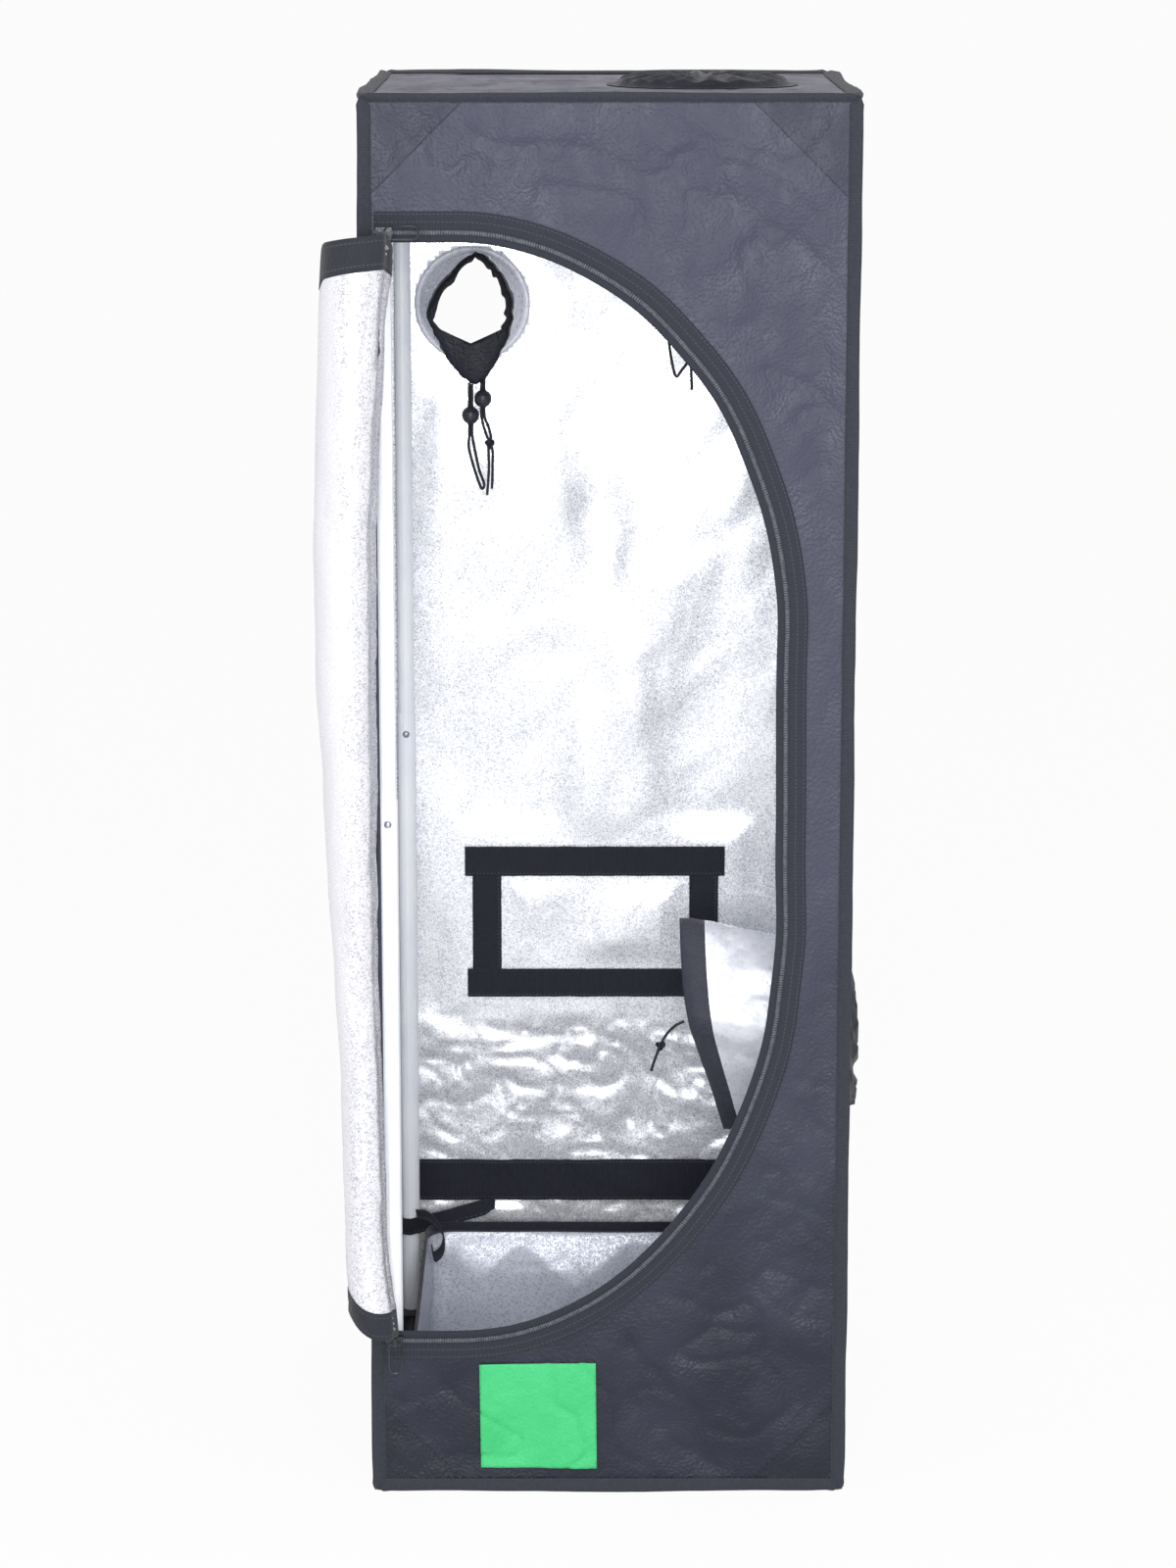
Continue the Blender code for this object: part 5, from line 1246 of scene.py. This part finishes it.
def tray_place(u, v):
    wide = TRAY_HALF + TRAY_TOP - TRAY_FLOOR
    px, py = (2 * u - 1) * wide, (2 * v - 1) * wide
    reach = max(abs(px), abs(py), 0.0001)
    if reach <= TRAY_HALF:
        x, y = tray_outline(px, py)
        rise = 0.0008 * (1 + swell(x, y, 61.0, 0.05)) * ease(TRAY_HALF - reach, 0.03)
        return Vector((x, y, TRAY_FLOOR + rise))
    x, y = tray_outline(px * TRAY_HALF / reach, py * TRAY_HALF / reach)
    height = reach - TRAY_HALF
    along, side = (y, 0) if abs(px) >= abs(py) else (x, 2)
    corner = ease(TRAY_HALF - abs(along) - 0.004, 0.03)
    seed = 71.0 + side + (1 if px + py > 0 else 0)
    sag = 0.5 + swell(along, height, seed, 0.075, 0.9, 0.15)
    lean = 0.0060 * sin(pi * (height / TRAY_WALL)) * corner * sag
    for peak_x, peak_z, deep in TRAY_DENTS if side == 2 and py > 0 else ():
        slope = max(abs(x - peak_x) / 0.055, abs(height - peak_z) / (0.050 if height > peak_z else 0.060))
        lean += deep * max(0.0, 1 - slope)
    lean = max(lean * ease(TRAY_WALL - 0.007 - height, 0.014), -0.0006)
    if corner < 0.05:
        inward = Vector((-x, -y)).normalized()
    else:
        inward = Vector((-1 if px > 0 else 1, 0)) if side == 0 else Vector((0, -1 if py > 0 else 1))
    return Vector((x + inward.x * lean, y + inward.y * lean, TRAY_FLOOR + height))


tray = lay_piece(
    "spill_tray_cloth", (150, 150), (0.57, 0.57), tray_place, [tray_film, coated_cloth], "spill_tray",
    ["spill_tray"], FILM, inside=1,
)

# %% The tray's rim
RIM_PROFILE = [
    (1.0, -9.5), (1.3, -5.0), (1.3, -1.0), (0.6, 0.6), (-0.6, 0.6), (-1.3, -1.0), (-1.3, -5.0), (-1.0, -9.5),
    (-0.4, -9.0), (0.4, -9.0),
]


def rim_place(u, v):
    turn = 2 * pi * u
    wide = max(abs(cos(turn)), abs(sin(turn)))
    x, y = tray_outline(cos(turn) / wide * TRAY_HALF, sin(turn) / wide * TRAY_HALF)
    out = Vector((x, y)).normalized()
    a, b = RIM_PROFILE[round(v * 10) % 10]
    wave = 0.0010 * ripple(x / 0.05, y / 0.05, 3.3) * (1 if b < -5 else 0.3)
    return Vector((x + out.x * a * MM, y + out.y * a * MM, TRAY_TOP + 0.0003 + b * MM + wave))


made = bmesh.new()
lay_grid(made, (260, 10), (1.33, 0.024), rim_place)
weld(made, solid=True)
add_piece("spill_tray_rim", made, [black_webbing], "spill_tray", close=False)

# %% [markdown]
# A strap ties the tray to an upright. It loops round the tube and ends in a loose tail that lies along
# the rim. Its short end comes over the tray's rim and curls once inside it.

# %% Tray strap
STRAP_WIDTH = 0.016
CURL = [
    (-0.1790, 0.1700, 0.1262), (-0.1690, 0.1640, 0.1270), (-0.1590, 0.1560, 0.1215),
    (-0.1530, 0.1500, 0.1110), (-0.1545, 0.1460, 0.0990), (-0.1620, 0.1440, 0.0930),
    (-0.1635, 0.1480, 0.0990),
]
CURL_LINE = smooth_through([Vector(spot) for spot in CURL], 4)


def strap_line():
    """Points along the strap's lower edge."""
    centre = Vector((-POLE_AXIS, POLE_AXIS, 0.104))
    radius = 0.0085 + 0.0004 + 0.0007
    turns = [-pi / 2 - radians(300) * (1 - k / 28) for k in range(29)]
    line = [centre + Vector((cos(t), sin(t), 0)) * radius for t in turns]
    start = line[-1]
    for k in range(1, 25):
        share = k / 24
        settle = (1 - cos(pi * min(1, share * 2))) / 2
        y = start.y + (0.1720 - start.y) * settle
        line.append(Vector((start.x + 0.080 * share, y, start.z + 0.024 * share)))
    return line


STRAP_LINE = strap_line()


def strap_place(u, v):
    k = min(round(u * (len(STRAP_LINE) - 1)), len(STRAP_LINE) - 1)
    tip = ease(1 - u, 0.06)
    up = STRAP_WIDTH * (0.5 + (v - 0.5) * (0.55 + 0.45 * tip))
    return STRAP_LINE[k] + Vector((0, 0.0003 * sin(u * 40), up))


def curl_place(u, v):
    k = round(u * (len(CURL_LINE) - 1))
    return CURL_LINE[k] + Vector((-0.001, 0.002, 0.0045)) * (2 * v - 1)


made = bmesh.new()
lay_grid(made, (len(STRAP_LINE) - 1, 6), (0.13, STRAP_WIDTH), strap_place)
lay_grid(made, (len(CURL_LINE) - 1, 4), (0.064, 0.010), curl_place)
strap = add_piece(
    "tray_strap_webbing", made, [black_webbing], "spill_tray", ["tray_strap"], 0.0012, offset=0.0, close=False
)

# %% [markdown]
# A plain green patch is sewn low on the front. It follows the panel's folds.

# %% Green patch
def patch_place(u, v):
    x = -0.1110 + 0.1000 * u
    z = 0.0205 + 0.0945 * v + 0.0025 * u * (1 if v > 0.5 else 0.2) * abs(v - 0.2)
    spot = front_place((x + HALF) / (2 * HALF), (z - LOW) / (HIGH - LOW))
    return Vector((x + 0.0010 * (1 - v), spot.y - 0.0018, z))


PATCH = (0.100, 0.0945)
patch = lay_piece(
    "green_patch", (40, 38), PATCH, patch_place, [green_vinyl], "tent", thickness=0.0004, offset=0.0
)

# %% [markdown]
# The stage is a pale floor under plain soft light. The floor shows white to the camera but keeps a
# soft shadow, and the world is white behind it.

# %% Floor
FLOOR_GLOW, SKY_LIGHT = 0.94, 0.48


def seen_straight(made):
    """1 for what the camera sees, also in a mirror or through glass, and 0 for light on the part."""
    rays = add_node(made, "ShaderNodeLightPath").outputs
    seen = calc(made, "MAXIMUM", rays["Is Camera Ray"], rays["Is Glossy Ray"])
    return calc(made, "MAXIMUM", seen, rays["Is Transmission Ray"])


floor_material, floor_shader = start_material("pale studio floor", "#f7f7f8", 0.8)
share = calc(floor_material, "MULTIPLY", seen_straight(floor_material), FLOOR_GLOW)
white = {"Color": (1, 1, 1, 1), "Strength": 1.0}
glow = add_node(floor_material, "ShaderNodeEmission", None, white).outputs["Emission"]
both = {0: share, 1: floor_shader.outputs["BSDF"], 2: glow}
blend = add_node(floor_material, "ShaderNodeMixShader", None, both).outputs["Shader"]
output = floor_material.node_tree.nodes["Material Output"]
floor_material.node_tree.links.new(blend, output.inputs["Surface"])
made = bmesh.new()
bmesh.ops.create_grid(made, x_segments=2, y_segments=2, size=200)
floor_mesh = bpy.data.meshes.new("studio_floor")
made.to_mesh(floor_mesh)
made.free()
floor_mesh.transform(Matrix.Translation((0, 0, -0.0008)))
floor = bpy.data.objects.new("studio_floor", floor_mesh)
floor_mesh.materials.append(floor_material)
bpy.context.scene.collection.objects.link(floor)
print("floor made")

# %% Sky and lamps
world = bpy.data.worlds.new("studio")
world.use_nodes = True
bpy.context.scene.world = world
sky = world.node_tree.nodes["Background"]
level = remap(world, seen_straight(world), 0.0, 1.0, SKY_LIGHT, 1.0)
world.node_tree.links.new(level, sky.inputs["Strength"])
sky.inputs["Color"].default_value = (1, 1, 1, 1)


def add_lamp(name, place, aim, size, power):
    """A square soft lamp that looks at a point."""
    data = bpy.data.lights.new(name, "AREA")
    data.size = size
    data.energy = power
    lamp = bpy.data.objects.new(name, data)
    lamp.location = place
    lamp.rotation_euler = (Vector(aim) - Vector(place)).to_track_quat("-Z", "Y").to_euler()
    bpy.context.scene.collection.objects.link(lamp)


add_lamp("high_front", (0.1, -1.9, 2.4), (0, -0.2, 0.9), 1.2, 19)
add_lamp("camera_side", (-0.05, -3.4, 1.20), (0, 0, 0.40), 0.8, 68)
print("lamps:", len(bpy.data.lights))
